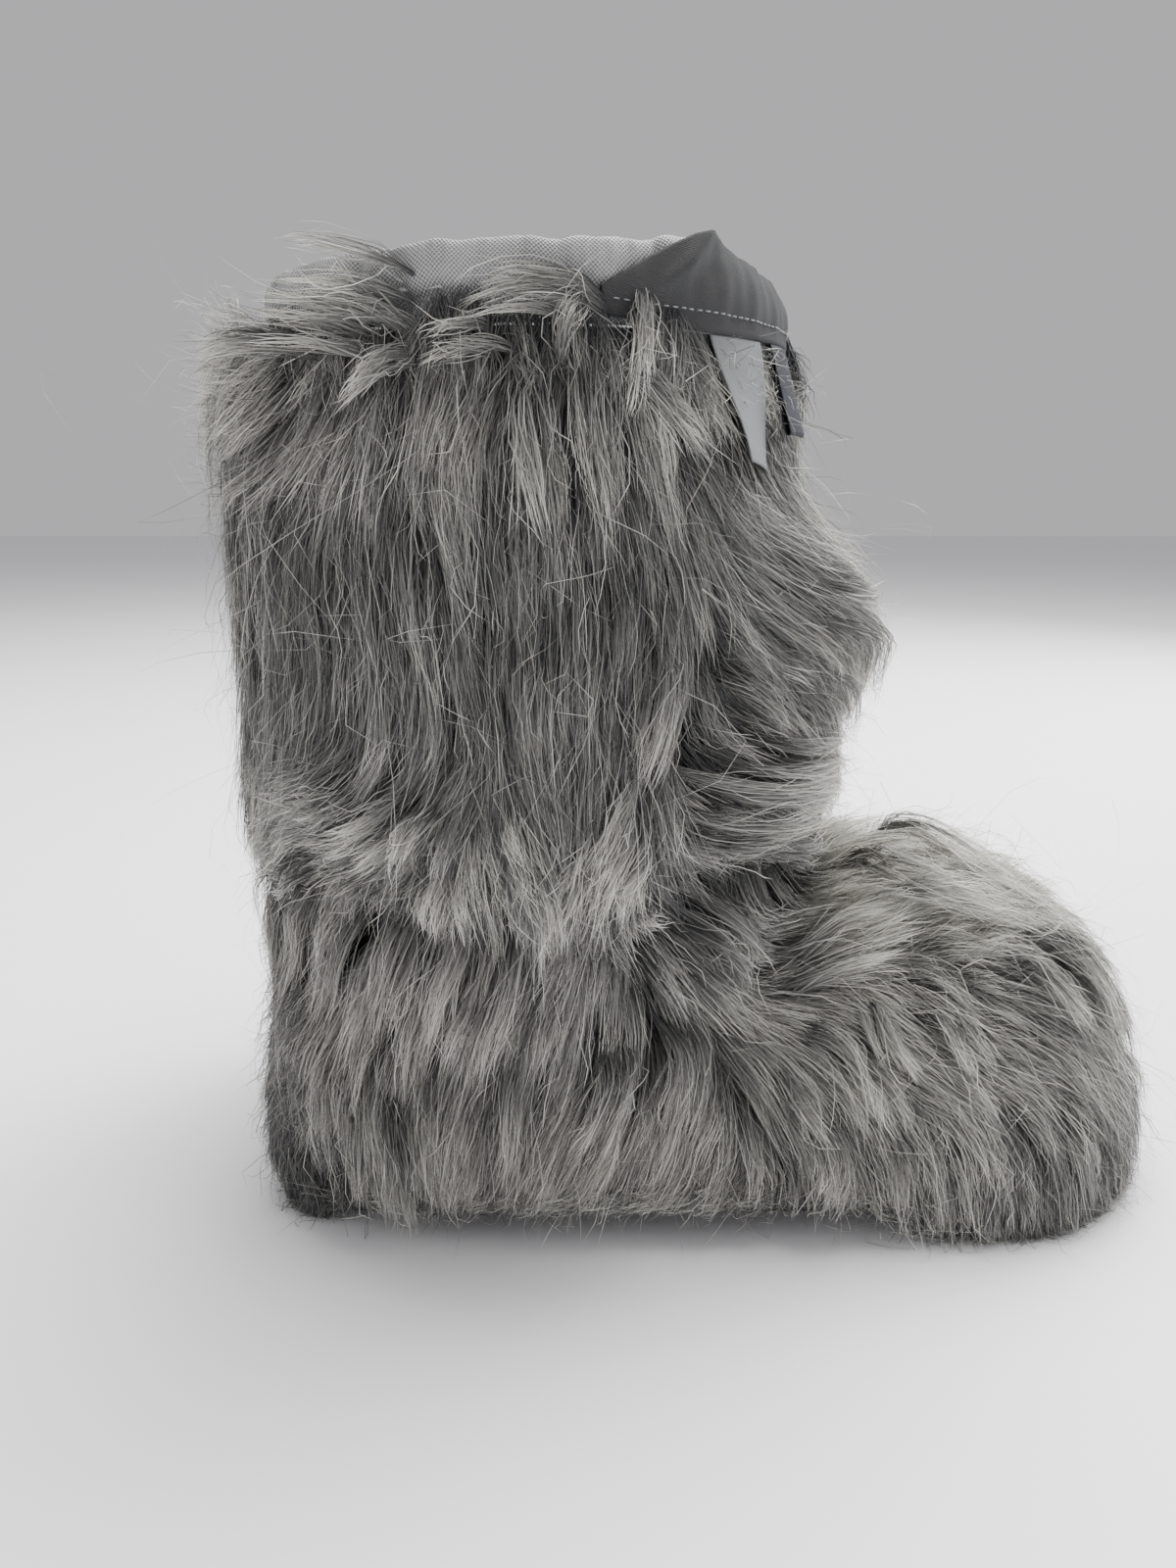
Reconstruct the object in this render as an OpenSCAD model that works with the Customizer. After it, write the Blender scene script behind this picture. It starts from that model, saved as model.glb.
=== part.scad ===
// Boot-shaped furry windscreen cover: long-pile fur panels over a foam and fabric liner,
// with a gathered woven cuff round the open mouth and two small fabric tabs at its front.
// +Z is up, +X points to the toe. The origin is the foot of the shaft's axis, on the floor.

/* [Shaft] */
// Inner radius of the lined shaft
bore_r = 73; // [70:0.5:76]
// Outer radius of the shaft's pile at its fullest
shaft_pile_r = 112; // [108:1:118]
// Height of the seam between shaft and foot
ankle_z = 118; // [112:1:124]
// Height of the top edge of the shaft's fur
shaft_top_z = 281; // [260:1:300]

/* [Foot] */
// Distance from the shaft's axis forward to the tip of the toe's pile
toe_x = 223; // [210:1:240]
// Distance from the shaft's axis back to the heel's pile
heel_x = 97; // [92:1:104]
// Half the width of the foot's pile
foot_r = 90; // [86:1:94]
// Height of the foot's lengthwise axis above the floor
foot_axis_z = 18; // [14:1:22]
// Radius that rounds the toe, seen from the side and from above
toe_round = 75; // [60:1:80]
// Radius that rounds the heel
heel_round = 48; // [40:1:54]
// Where the heel panel meets the side panels
heel_seam_x = -52; // [-58:1:-46]
// Where the side panels meet the vamp
vamp_seam_x = 88; // [86:1:94]
// Where the vamp meets the toe panel
toe_seam_x = 150; // [140:1:160]
// Where the side foams meet the toe's foam
foam_seam_x = 120; // [110:1:130]

/* [Layers] */
// Thickness of the foot's pile and its backing
pile_t = 24; // [20:1:26]
// Thickness of the foam liner
foam_t = 7; // [5:0.5:8]
// Thickness of the lining fabric
lining_t = 0.8; // [0.5:0.1:1.2]
// Thickness of a seam tape
tape_t = 1; // [0.6:0.1:1.2]
// Width of a seam tape
tape_w = 8; // [6:1:10]
// Thickness of the sole panel
sole_t = 5; // [3:0.5:6]
// Thickness of the foam insole
insole_t = 8; // [5:0.5:10]
// Clearance between neighbouring pieces
gap = 0.3; // [0.2:0.05:0.4]

/* [Cuff] */
// Height of the cuff's folded top edge
cuff_top_z = 306; // [300:1:312]
// Outer radius of the cuff's band
cuff_r = 84; // [82:0.5:85]
// Thickness of one ply of the band
ply_t = 0.8; // [0.5:0.1:1]
// Distance between the band's two plies, face to face
casing_w = 2.8; // [2.4:0.1:3.2]
// Height of the turned hem at the band's lower edge
hem_h = 6; // [4:0.5:8]
// Width of the elastic inside the casing
elastic_w = 9; // [6:0.5:10]
// Radius of a sewing thread
thread_r = 0.3; // [0.2:0.05:0.4]

/* [Tabs] */
// Width of the pale label
label_w = 25; // [20:1:28]
// Length that the pale label hangs down
label_h = 38; // [30:1:42]
// Angle of the pale label round the mouth from the toe, towards the left
label_turn = -42; // [-48:1:-40]
// Width of the dark tab
tab_w = 18; // [14:1:20]
// Length that the dark tab hangs down
tab_h = 28; // [22:1:32]
// Angle of the dark tab round the mouth from the toe, towards the left
tab_turn = -23; // [-25:1:-18]
// Outward lean of both tabs from the vertical
tab_lean = 16; // [14:1:20]

/* [Hidden] */
$fn = 96;

far = 400;
arc_step = 15;
label_t = 0.8;
ribbon_t = 1.6;

// Radii through the shaft's wall, from the inside out
lining_out_r = bore_r + lining_t;
foam_in_r = lining_out_r + gap;
foam_out_r = foam_in_r + foam_t;
tape_in_r = foam_out_r + gap;
tape_out_r = tape_in_r + tape_t;
fur_in_r = tape_out_r + gap;

// Depths through the foot's wall, from the pile's surface in
tape_in = pile_t + gap;
foam_in = tape_in + tape_t + gap;
lining_in = foam_in + foam_t + gap;
cavity_in = lining_in + lining_t;

// Heights in the foot
insole_z = sole_t + gap;
lining_z = insole_z + insole_t + gap;
sole_inset = 22;
binding_inset = 18;
binding_top_z = sole_t + 1.4;

// The ankle, where the round shaft narrows into the foot
ankle_low_z = 10;
ankle_cone_top_z = 100;
ankle_tuck = 6;
ankle_pile_r = 106;

// Heights round the cuff
cuff_low_z = shaft_top_z + 0.8;
elastic_top_z = cuff_top_z - ply_t - 2 * gap;
elastic_in_r = cuff_r - ply_t - casing_w + 2 * gap;
binding_z = shaft_top_z - 2;
foam_top_z = binding_z - gap;
tab_z = shaft_top_z + 0.3;
tab_r = cuff_r + 1.2;

// Points along an arc, as [radius, position], from one angle to another
function arc(centre, r, from, to) =
    [for (i = [0:ceil(abs(to - from) / arc_step)])
        let (a = from + (to - from) * i / ceil(abs(to - from) / arc_step))
            [centre[0] + r * cos(a), centre[1] + r * sin(a)]];

// The foot's outline, as [radius from its lengthwise axis, x], shrunk by a depth
function foot_outline(depth) = concat(
    [[0, depth - heel_x]],
    arc([foot_r - heel_round, heel_round - heel_x], heel_round - depth, -90, 0),
    arc([foot_r - toe_round, toe_x - toe_round], toe_round - depth, 0, 90),
    [[0, toe_x - depth]]
);

// A round body about the foot's lengthwise axis, shrunk by a depth
module foot_body(depth) {
    translate([0, 0, foot_axis_z])
        rotate([90, 0, 90])
            rotate_extrude()
                polygon(foot_outline(depth));
}

// Everything between two planes square to the foot's axis
module slab_x(x0, x1) {
    translate([x0, -far / 2, -far / 2])
        cube([x1 - x0, far, far * 2]);
}

// Everything between two heights
module slab_z(z0, z1) {
    translate([-far, -far, z0])
        cube([2 * far, 2 * far, z1 - z0]);
}

// The left or right half of space, short of the middle plane by half a gap
module side(sign) {
    translate([-far, sign > 0 ? gap / 2 : -far - gap / 2, -far])
        cube([2 * far, far, 2 * far]);
}

// One layer's outer body: the foot, and the ankle that widens up into the shaft
module foot_layer(r, depth) {
    low_r = foot_r - depth - ankle_tuck;
    union() {
        foot_body(depth);
        rotate_extrude()
            polygon([
                [0, ankle_low_z],
                [low_r, ankle_low_z],
                [r, ankle_cone_top_z],
                [r, ankle_z + 1],
                [0, ankle_z + 1]
            ]);
    }
}

// The pile round the whole foot, standing on the floor and hollow for the liner
module foot_pile() {
    difference() {
        intersection() {
            foot_layer(ankle_pile_r, 0);
            slab_z(0, ankle_z - gap);
        }
        foot_layer(fur_in_r, pile_t);
        intersection() {
            foot_body(binding_inset - gap);
            slab_z(-1, binding_top_z + gap);
        }
    }
}

// A tube about the shaft's axis
module tube(r_in, r_out, z0, z1) {
    translate([0, 0, z0])
        difference() {
            cylinder(h = z1 - z0, r = r_out);
            translate([0, 0, -1])
                cylinder(h = z1 - z0 + 2, r = r_in);
        }
}

// One half of the shaft's fur: narrow under the cuff, full below, tucked in at the ankle
module shaft_pile(sign) {
    lean = tan(tab_lean);
    neck_r = fur_in_r + 1.3;
    neck_h = 35;
    intersection() {
        rotate_extrude()
            polygon([
                [fur_in_r, ankle_z],
                [ankle_pile_r, ankle_z],
                [shaft_pile_r - 3, ankle_z + 12],
                [shaft_pile_r, ankle_z + 32],
                [shaft_pile_r, ankle_z + 72],
                [shaft_pile_r - 2, ankle_z + 92],
                [shaft_pile_r - 8, ankle_z + 110],
                [neck_r + neck_h * lean, shaft_top_z - neck_h],
                [neck_r, shaft_top_z],
                [fur_in_r, shaft_top_z]
            ]);
        side(sign);
    }
}

// The foam shell round foot and ankle, open at the top
module foot_foam() {
    difference() {
        intersection() {
            foot_layer(foam_out_r, foam_in);
            slab_z(insole_z, ankle_z - gap);
        }
        foot_layer(foam_in_r, foam_in + foam_t);
    }
}

// The left or right side of the foot's foam, from the heel to the toe's foam
module side_foam(sign) {
    intersection() {
        foot_foam();
        slab_x(-far, foam_seam_x - gap / 2);
        side(sign);
    }
}

// The left or right half of the shaft's foam
module shaft_foam(sign) {
    intersection() {
        tube(foam_in_r, foam_out_r, ankle_z, foam_top_z);
        side(sign);
    }
}

// A tape across the foot under a seam between two panels
module foot_tape(x, z1) {
    intersection() {
        difference() {
            foot_layer(tape_out_r, tape_in);
            foot_layer(tape_in_r, tape_in + tape_t);
        }
        slab_x(x - tape_w / 2, x + tape_w / 2);
        slab_z(binding_top_z + 1, z1);
    }
}

// A tape down the shaft under the seam at the front or the back
module shaft_tape(sign) {
    intersection() {
        tube(tape_in_r, tape_out_r, ankle_z + tape_w / 2 + 1 + gap, foam_top_z);
        translate([sign > 0 ? 0 : -far, -tape_w / 2, 0])
            cube([far, tape_w, far]);
    }
}

// A ring of sewing thread round the cuff
module thread_ring(r, z) {
    translate([0, 0, z])
        rotate_extrude()
            translate([r + thread_r + 0.05, 0])
                circle(r = thread_r, $fn = 24);
}

// Moves a piece to its place under the cuff's hem, leaning out from the fur
module hang(turn) {
    rotate([0, 0, turn])
        translate([tab_r, 0, tab_z])
            rotate([0, -tab_lean, 0])
                children();
}

// A straight run of thread on the hem above a tab
module thread_run(turn, length) {
    rotate([0, 0, turn])
        translate([cuff_r + 2.1, -length / 2, cuff_low_z + 1.2])
            rotate([-90, 0, 0])
                cylinder(h = length, r = thread_r, $fn = 24);
}

module fur_shaft_left() {
    color([0.50, 0.52, 0.49]) shaft_pile(-1);
}

module fur_shaft_right() {
    color([0.48, 0.50, 0.47]) shaft_pile(1);
}

module fur_quarter(sign) {
    intersection() {
        foot_pile();
        slab_x(heel_seam_x + gap / 2, vamp_seam_x - gap / 2);
        side(sign);
    }
}

module fur_quarter_left() {
    color([0.58, 0.60, 0.56]) fur_quarter(-1);
}

module fur_quarter_right() {
    color([0.56, 0.58, 0.54]) fur_quarter(1);
}

module fur_heel() {
    color([0.42, 0.43, 0.42])
        intersection() {
            foot_pile();
            slab_x(-far, heel_seam_x - gap / 2);
        }
}

module fur_vamp() {
    color([0.60, 0.62, 0.58])
        intersection() {
            foot_pile();
            slab_x(vamp_seam_x + gap / 2, toe_seam_x - gap / 2);
        }
}

module fur_toe() {
    color([0.54, 0.56, 0.53])
        intersection() {
            foot_pile();
            slab_x(toe_seam_x + gap / 2, far);
        }
}

module sole_panel() {
    color([0.25, 0.26, 0.27])
        intersection() {
            foot_body(sole_inset);
            slab_z(0, sole_t);
        }
}

module sole_binding() {
    color([0.30, 0.31, 0.31])
        difference() {
            intersection() {
                foot_body(binding_inset);
                slab_z(0.4, binding_top_z);
            }
            foot_body(sole_inset - gap);
        }
}

module insole_foam() {
    color([0.75, 0.75, 0.72])
        intersection() {
            foot_body(foam_in + foam_t + gap);
            slab_z(insole_z, insole_z + insole_t);
        }
}

module foot_foam_left() {
    color([0.36, 0.37, 0.38]) side_foam(-1);
}

module foot_foam_right() {
    color([0.35, 0.36, 0.37]) side_foam(1);
}

module toe_foam() {
    color([0.38, 0.39, 0.40])
        intersection() {
            foot_foam();
            slab_x(foam_seam_x + gap / 2, far);
        }
}

module shaft_foam_left() {
    color([0.34, 0.35, 0.36]) shaft_foam(-1);
}

module shaft_foam_right() {
    color([0.33, 0.34, 0.35]) shaft_foam(1);
}

module foot_lining() {
    color([0.22, 0.23, 0.24])
        difference() {
            intersection() {
                foot_layer(lining_out_r, lining_in);
                slab_z(lining_z, ankle_z - gap);
            }
            intersection() {
                foot_layer(bore_r, cavity_in);
                slab_z(lining_z + lining_t, far);
            }
        }
}

module shaft_lining() {
    color([0.20, 0.21, 0.22]) tube(bore_r, lining_out_r, ankle_z, foam_top_z);
}

module ankle_tape() {
    color([0.30, 0.30, 0.30])
        tube(tape_in_r, tape_out_r, ankle_z - tape_w / 2 - 1, ankle_z + tape_w / 2 + 1);
}

module heel_tape() {
    color([0.30, 0.30, 0.30]) foot_tape(heel_seam_x, ankle_z - tape_w / 2 - 1 - gap);
}

module vamp_tape() {
    color([0.30, 0.30, 0.30]) foot_tape(vamp_seam_x, ankle_z - tape_w / 2 - 1 - gap);
}

module toe_tape() {
    color([0.30, 0.30, 0.30]) foot_tape(toe_seam_x, ankle_z - tape_w / 2 - 1 - gap);
}

module shaft_front_tape() {
    color([0.30, 0.30, 0.30]) shaft_tape(1);
}

module shaft_back_tape() {
    color([0.30, 0.30, 0.30]) shaft_tape(-1);
}

module cuff_band() {
    inner_r = cuff_r - 2 * ply_t - casing_w;
    color([0.47, 0.48, 0.48])
        rotate_extrude()
            difference() {
                polygon([
                    [inner_r, cuff_low_z],
                    [cuff_r + ply_t, cuff_low_z],
                    [cuff_r + ply_t, cuff_low_z + hem_h],
                    [cuff_r, cuff_low_z + hem_h + ply_t],
                    [cuff_r, cuff_top_z - 1],
                    [cuff_r - 1, cuff_top_z],
                    [inner_r + 1, cuff_top_z],
                    [inner_r, cuff_top_z - 1]
                ]);
                translate([inner_r + ply_t, cuff_low_z + hem_h])
                    square([casing_w, cuff_top_z - ply_t - cuff_low_z - hem_h]);
            }
}

module cuff_elastic() {
    color([0.85, 0.85, 0.83])
        tube(elastic_in_r, cuff_r - ply_t - gap, elastic_top_z - elastic_w, elastic_top_z);
}

module cuff_front_lap() {
    lap_from = -75;
    lap_turn = 60;
    color([0.44, 0.45, 0.46])
        rotate([0, 0, lap_from])
            translate([0, 0, cuff_low_z + hem_h + ply_t + gap])
                rotate_extrude(angle = lap_turn)
                    translate([cuff_r + 2 * thread_r + 0.1 + gap, 0])
                        square([ply_t, cuff_top_z - 1 - cuff_low_z - hem_h - ply_t - gap]);
}

module cuff_binding() {
    color([0.28, 0.29, 0.30]) tube(foam_in_r, foam_out_r, binding_z, shaft_top_z);
}

module casing_stitch() {
    color([0.62, 0.63, 0.62])
        thread_ring(cuff_r, elastic_top_z - elastic_w - 1.5);
}

module hem_stitch() {
    color([0.62, 0.63, 0.62])
        thread_ring(cuff_r + ply_t, cuff_low_z + hem_h - 1.5);
}

module pale_label() {
    color([0.66, 0.68, 0.68])
        hang(label_turn)
            translate([-label_t / 2, -label_w / 2, -label_h])
                cube([label_t, label_w, label_h]);
}

module dark_tab() {
    color([0.12, 0.13, 0.17])
        hang(tab_turn)
            translate([-ribbon_t / 2, -tab_w / 2, -tab_h])
                cube([ribbon_t, tab_w, tab_h]);
}

module tab_stitches() {
    color([0.62, 0.63, 0.62]) {
        thread_run(label_turn, label_w * 0.7);
        thread_run(tab_turn, tab_w * 0.7);
    }
}

fur_shaft_left();
fur_shaft_right();
fur_quarter_left();
fur_quarter_right();
fur_heel();
fur_vamp();
fur_toe();
sole_panel();
sole_binding();
insole_foam();
foot_foam_left();
foot_foam_right();
toe_foam();
shaft_foam_left();
shaft_foam_right();
foot_lining();
shaft_lining();
ankle_tape();
heel_tape();
vamp_tape();
toe_tape();
shaft_front_tape();
shaft_back_tape();
cuff_band();
cuff_elastic();
cuff_front_lap();
cuff_binding();
casing_stitch();
hem_stitch();
pale_label();
dark_tab();
tab_stitches();
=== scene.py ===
import math

import bpy
import numpy as np
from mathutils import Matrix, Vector


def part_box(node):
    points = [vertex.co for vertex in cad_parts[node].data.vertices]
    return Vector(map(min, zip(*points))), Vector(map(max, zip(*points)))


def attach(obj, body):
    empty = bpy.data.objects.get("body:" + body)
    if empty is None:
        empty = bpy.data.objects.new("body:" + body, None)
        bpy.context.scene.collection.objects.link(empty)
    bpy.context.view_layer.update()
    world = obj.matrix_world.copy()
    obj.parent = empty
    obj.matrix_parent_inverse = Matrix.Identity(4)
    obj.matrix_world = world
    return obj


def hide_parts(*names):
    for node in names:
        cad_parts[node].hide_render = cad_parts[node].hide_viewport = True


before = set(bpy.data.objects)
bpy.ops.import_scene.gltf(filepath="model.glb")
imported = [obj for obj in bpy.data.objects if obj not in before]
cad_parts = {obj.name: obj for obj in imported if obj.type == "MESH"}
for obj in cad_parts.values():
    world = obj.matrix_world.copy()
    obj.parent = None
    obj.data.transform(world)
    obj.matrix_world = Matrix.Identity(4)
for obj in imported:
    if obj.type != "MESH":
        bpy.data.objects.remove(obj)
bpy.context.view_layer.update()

# Boot-shaped furry windscreen cover. Shapes are worked out in millimetres in the CAD's frame:
# +X to the toe, +Y to the far side, +Z up, and the origin at the foot of the shaft's axis.
MM = 0.001
SEED = 20


def box_mm(node):
    """A CAD node's lowest and highest corners, in millimetres."""
    low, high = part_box(node)
    return np.array(low) / MM, np.array(high) / MM


# ---------------------------------------------------------------- sizes from the CAD frame
ANKLE_Z = box_mm("fur_shaft_left")[0][2]
FUR_TOP_Z = box_mm("fur_shaft_left")[1][2]
FOAM_R = box_mm("shaft_foam_left")[1][0]
BORE_R = box_mm("shaft_lining")[1][0] - 0.8
TOE_X = box_mm("fur_toe")[1][0]
HEEL_X = box_mm("fur_heel")[0][0]
FOOT_R = box_mm("fur_vamp")[1][1]
HEEL_SEAM_X = box_mm("fur_heel")[1][0]
VAMP_SEAM_X = box_mm("fur_vamp")[0][0]
TOE_SEAM_X = box_mm("fur_toe")[0][0]
CUFF_R = box_mm("casing_stitch")[1][0] - 0.6

FOOT_AXIS_Z = 18.0
TOE_ROUND = 75.0
HEEL_ROUND = 48.0
TABS_TURN = -33.0      # the angle half way between the two tabs
WEAVE_BAND_R = 86.0    # the radius at which each cloth's weave is unrolled
WEAVE_LAP_R = 88.0
COLLAR_R = 86.6        # where the tufts over the cuff's hem start
ROOT_DEPTH = 19.0      # the pile's roots lie this far under the foot's surface
SHAFT_ROOT_R = FOAM_R + 4.0


# ---------------------------------------------------------------- camera, floor and light
def make_camera():
    camera = bpy.data.objects.new("camera", bpy.data.cameras.new("camera"))
    camera.data.sensor_width = 36.0
    camera.data.lens = 27.05
    camera.data.clip_start = 0.01
    camera.location = (0.020, -0.421, 0.238)
    camera.rotation_euler = (math.radians(90.0 - 14.0), 0.0, 0.0)
    bpy.context.scene.collection.objects.link(camera)
    bpy.context.scene.camera = camera


def add_object(name, mesh):
    """A new object in the scene for this mesh."""
    made = bpy.data.objects.new(name, mesh)
    bpy.context.scene.collection.objects.link(made)
    return made


def mesh_from(name, points, faces):
    """A mesh from points in millimetres and lists of point numbers."""
    mesh = bpy.data.meshes.new(name)
    mesh.from_pydata((np.asarray(points) * MM).tolist(), [], faces)
    mesh.update()
    return mesh


def area_light(name, place, target, size, power, colour):
    """A soft square lamp that points at a target."""
    data = bpy.data.lights.new(name, "AREA")
    data.size = size
    data.energy = power
    data.color = colour
    lamp = bpy.data.objects.new(name, data)
    lamp.location = place
    aim = np.array(target) - np.array(place)
    lamp.rotation_euler = Vector(aim).to_track_quat("-Z", "Y").to_euler()
    bpy.context.scene.collection.objects.link(lamp)


def make_stage():
    reach = 6000.0
    floor = add_object("floor", mesh_from(
        "floor",
        [(-reach, -reach, 0), (reach, -reach, 0), (reach, reach, 0), (-reach, reach, 0)],
        [(0, 1, 2, 3)],
    ))
    floor.data.materials.append(plain_floor_material())
    area_light("top", (0.25, 0.45, 1.7), (0.05, 0.0, 0.1), 1.4, 88.0, (1.0, 0.995, 0.98))
    area_light("key", (1.0, -0.5, 1.3), (0.05, 0.0, 0.15), 1.0, 3.0, (1.0, 0.99, 0.97))
    area_light("back", (1.1, 0.9, 0.9), (0.05, 0.0, 0.15), 0.9, 30.0, (0.97, 0.98, 1.0))
    area_light("fill", (-1.4, -0.9, 0.9), (0.0, 0.0, 0.15), 1.6, 7.0, (1.0, 0.99, 0.96))
    world = bpy.data.worlds.new("studio")
    world.use_nodes = True
    sky = world.node_tree.nodes["Background"]
    sky.inputs["Color"].default_value = (0.86, 0.85, 0.88, 1.0)
    sky.inputs["Strength"].default_value = 0.60
    bpy.context.scene.world = world


# ---------------------------------------------------------------- material building blocks
class Nodes:
    """A short way to add nodes to a material and link them."""

    def __init__(self, name):
        self.material = bpy.data.materials.new(name)
        self.material.use_nodes = True
        self.tree = self.material.node_tree
        self.shader = self.tree.nodes["Principled BSDF"]

    def add(self, kind, links=(), **settings):
        """A node with its settings, and a value or another node's output on each input."""
        node = self.tree.nodes.new(kind)
        for key, value in settings.items():
            setattr(node, key, value)
        for socket, value in dict(links).items():
            self.put(node.inputs[socket], value)
        return node

    def put(self, socket, value):
        if isinstance(value, bpy.types.NodeSocket):
            self.tree.links.new(value, socket)
        else:
            socket.default_value = value

    def place(self):
        """Each point's place in the object's own frame, in metres."""
        return self.add("ShaderNodeTexCoord").outputs["Object"]

    def ramp(self, value, stops):
        """A colour ramp over a value, from (position, colour) stops."""
        node = self.add("ShaderNodeValToRGB", {"Fac": value})
        ramp = node.color_ramp
        while len(ramp.elements) < len(stops):
            ramp.elements.new(0.5)
        for element, (position, colour) in zip(ramp.elements, stops):
            element.position = position
            element.color = (*colour, 1.0)
        return node.outputs["Color"]

    def math(self, operation, a, b=0.0):
        node = self.add("ShaderNodeMath", {0: a, 1: b}, operation=operation)
        return node.outputs[0]

    def mix(self, blend, factor, a, b):
        """Two colours mixed."""
        node = self.add("ShaderNodeMix", data_type="RGBA", blend_type=blend)
        self.put(node.inputs[0], factor)
        self.put(node.inputs[6], a)
        self.put(node.inputs[7], b)
        return node.outputs[2]

    def finish(self, **values):
        """Sets the shader's own sockets and gives the material."""
        for name, value in values.items():
            self.put(self.shader.inputs[name.replace("_", " ")], value)
        return self.material


def plain_floor_material():
    n = Nodes("pale_floor")
    return n.finish(Base_Color=(0.87, 0.86, 0.88, 1.0), Roughness=0.9)


def fur_material():
    """Pile: dark at the root and pale at the tip, with each strand its own shade."""
    n = Nodes("fur_pile")
    place = n.add("ShaderNodeUVMap", uv_map="OFBake").outputs["UV"]
    parts = n.add("ShaderNodeSeparateXYZ", {0: place})
    shade, along = parts.outputs["X"], parts.outputs["Y"]
    length_colour = n.ramp(along, [
        (0.0, (0.022, 0.023, 0.027)),
        (0.3, (0.072, 0.072, 0.070)),
        (0.7, (0.195, 0.192, 0.179)),
        (1.0, (0.410, 0.404, 0.376)),
    ])
    strand_colour = n.ramp(shade, [
        (0.0, (0.22, 0.23, 0.26)),
        (0.25, (0.50, 0.505, 0.52)),
        (0.55, (0.93, 0.925, 0.905)),
        (0.80, (1.52, 1.515, 1.46)),
        (1.0, (2.35, 2.34, 2.28)),
    ])
    colour = n.mix("MULTIPLY", 1.0, length_colour, strand_colour)
    return n.finish(Base_Color=colour, Roughness=0.55, Specular_IOR_Level=0.35)


def backing_material():
    """The knitted backing that the pile is rooted in."""
    n = Nodes("fur_backing")
    noise = n.add("ShaderNodeTexNoise", {"Vector": n.place(), "Scale": 900.0, "Detail": 2.0})
    colour = n.ramp(noise.outputs["Fac"], [
        (0.3, (0.030, 0.031, 0.034)),
        (0.7, (0.075, 0.076, 0.078)),
    ])
    return n.finish(Base_Color=colour, Roughness=0.95)


def woven_material(name, dark, pale, pitch, roughness, gloss=0.3):
    """Plain-woven cloth over a UV map measured in millimetres."""
    n = Nodes(name)
    place = n.add("ShaderNodeUVMap", uv_map="weave").outputs["UV"]
    parts = n.add("ShaderNodeSeparateXYZ", {0: place})
    turn = 2.0 * math.pi / (2.0 * pitch)
    warp = n.math("SINE", n.math("MULTIPLY", parts.outputs["X"], turn))
    weft = n.math("SINE", n.math("MULTIPLY", parts.outputs["Y"], turn))
    checks = n.math("MULTIPLY", warp, weft)
    level = n.math("ADD", n.math("MULTIPLY", checks, 0.5), 0.5)
    cloud = n.add("ShaderNodeTexNoise", {"Vector": n.place(), "Scale": 60.0, "Detail": 3.0})
    colour = n.mix(
        "MIX", 0.18, n.ramp(level, [(0.0, dark), (1.0, pale)]),
        n.ramp(cloud.outputs["Fac"], [(0.3, dark), (0.7, pale)]),
    )
    bump = n.add(
        "ShaderNodeBump", {"Height": level, "Strength": 0.7, "Distance": 0.0004}
    )
    n.put(n.shader.inputs["Normal"], bump.outputs["Normal"])
    return n.finish(Base_Color=colour, Roughness=roughness, Specular_IOR_Level=gloss)


def cloth_material(name, dark, pale, scale, roughness=0.85):
    """Plain cloth, tape or foam with a fine mottle and grain."""
    n = Nodes(name)
    noise = n.add("ShaderNodeTexNoise", {"Vector": n.place(), "Scale": scale, "Detail": 4.0})
    colour = n.ramp(noise.outputs["Fac"], [(0.3, dark), (0.7, pale)])
    bump = n.add(
        "ShaderNodeBump",
        {"Height": noise.outputs["Fac"], "Strength": 0.4, "Distance": 0.0004},
    )
    n.put(n.shader.inputs["Normal"], bump.outputs["Normal"])
    return n.finish(Base_Color=colour, Roughness=roughness)


# ---------------------------------------------------------------- the boot's form
def smoothstep(low, high, value):
    """0 below low, 1 above high, and an even curve between; low may be above high."""
    t = np.clip((value - low) / (high - low), 0.0, 1.0)
    return t * t * (3.0 - 2.0 * t)


def shaft_distance(p):
    """How far points are outside the roots of the shaft and ankle."""
    radius = np.interp(
        p[:, 2],
        [0.0, 10.0, 100.0, ANKLE_Z, FUR_TOP_Z - 22.0, FUR_TOP_Z],
        [64.0, 66.0, SHAFT_ROOT_R - 2.0, SHAFT_ROOT_R, SHAFT_ROOT_R, SHAFT_ROOT_R - 1.5],
    )
    return np.hypot(p[:, 0], p[:, 1]) - radius


def foot_distance(p):
    """How far points are outside the roots of the foot."""
    rho = np.hypot(p[:, 1], p[:, 2] - FOOT_AXIS_Z)
    toe = np.hypot(
        np.maximum(p[:, 0] - (TOE_X - TOE_ROUND), 0.0),
        np.maximum(rho - (FOOT_R - TOE_ROUND), 0.0),
    ) - (TOE_ROUND - ROOT_DEPTH)
    heel = np.hypot(
        np.minimum(p[:, 0] - (HEEL_X + HEEL_ROUND), 0.0),
        np.maximum(rho - (FOOT_R - HEEL_ROUND), 0.0),
    ) - (HEEL_ROUND - ROOT_DEPTH)
    return np.where(p[:, 0] > 0.0, toe, heel)


def form_distance(p):
    """How far points are outside the roots of the whole boot, rounded where its parts meet."""
    blend_width = 16.0
    a, b = shaft_distance(p), foot_distance(p)
    h = np.clip(0.5 + 0.5 * (b - a) / blend_width, 0.0, 1.0)
    return b * (1.0 - h) + a * h - blend_width * h * (1.0 - h)


def unit(v):
    return v / np.maximum(np.linalg.norm(v, axis=-1, keepdims=True), 1e-9)


def form_normal(p):
    """The outward direction of the boot's form at points."""
    step = 0.5
    slope = [
        form_distance(p + step * axis) - form_distance(p - step * axis)
        for axis in np.eye(3)
    ]
    return unit(np.stack(slope, axis=1))


def on_form(p):
    """Points moved onto the boot's roots."""
    for _ in range(4):
        p = p - form_normal(p) * form_distance(p)[:, None]
    return p


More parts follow.
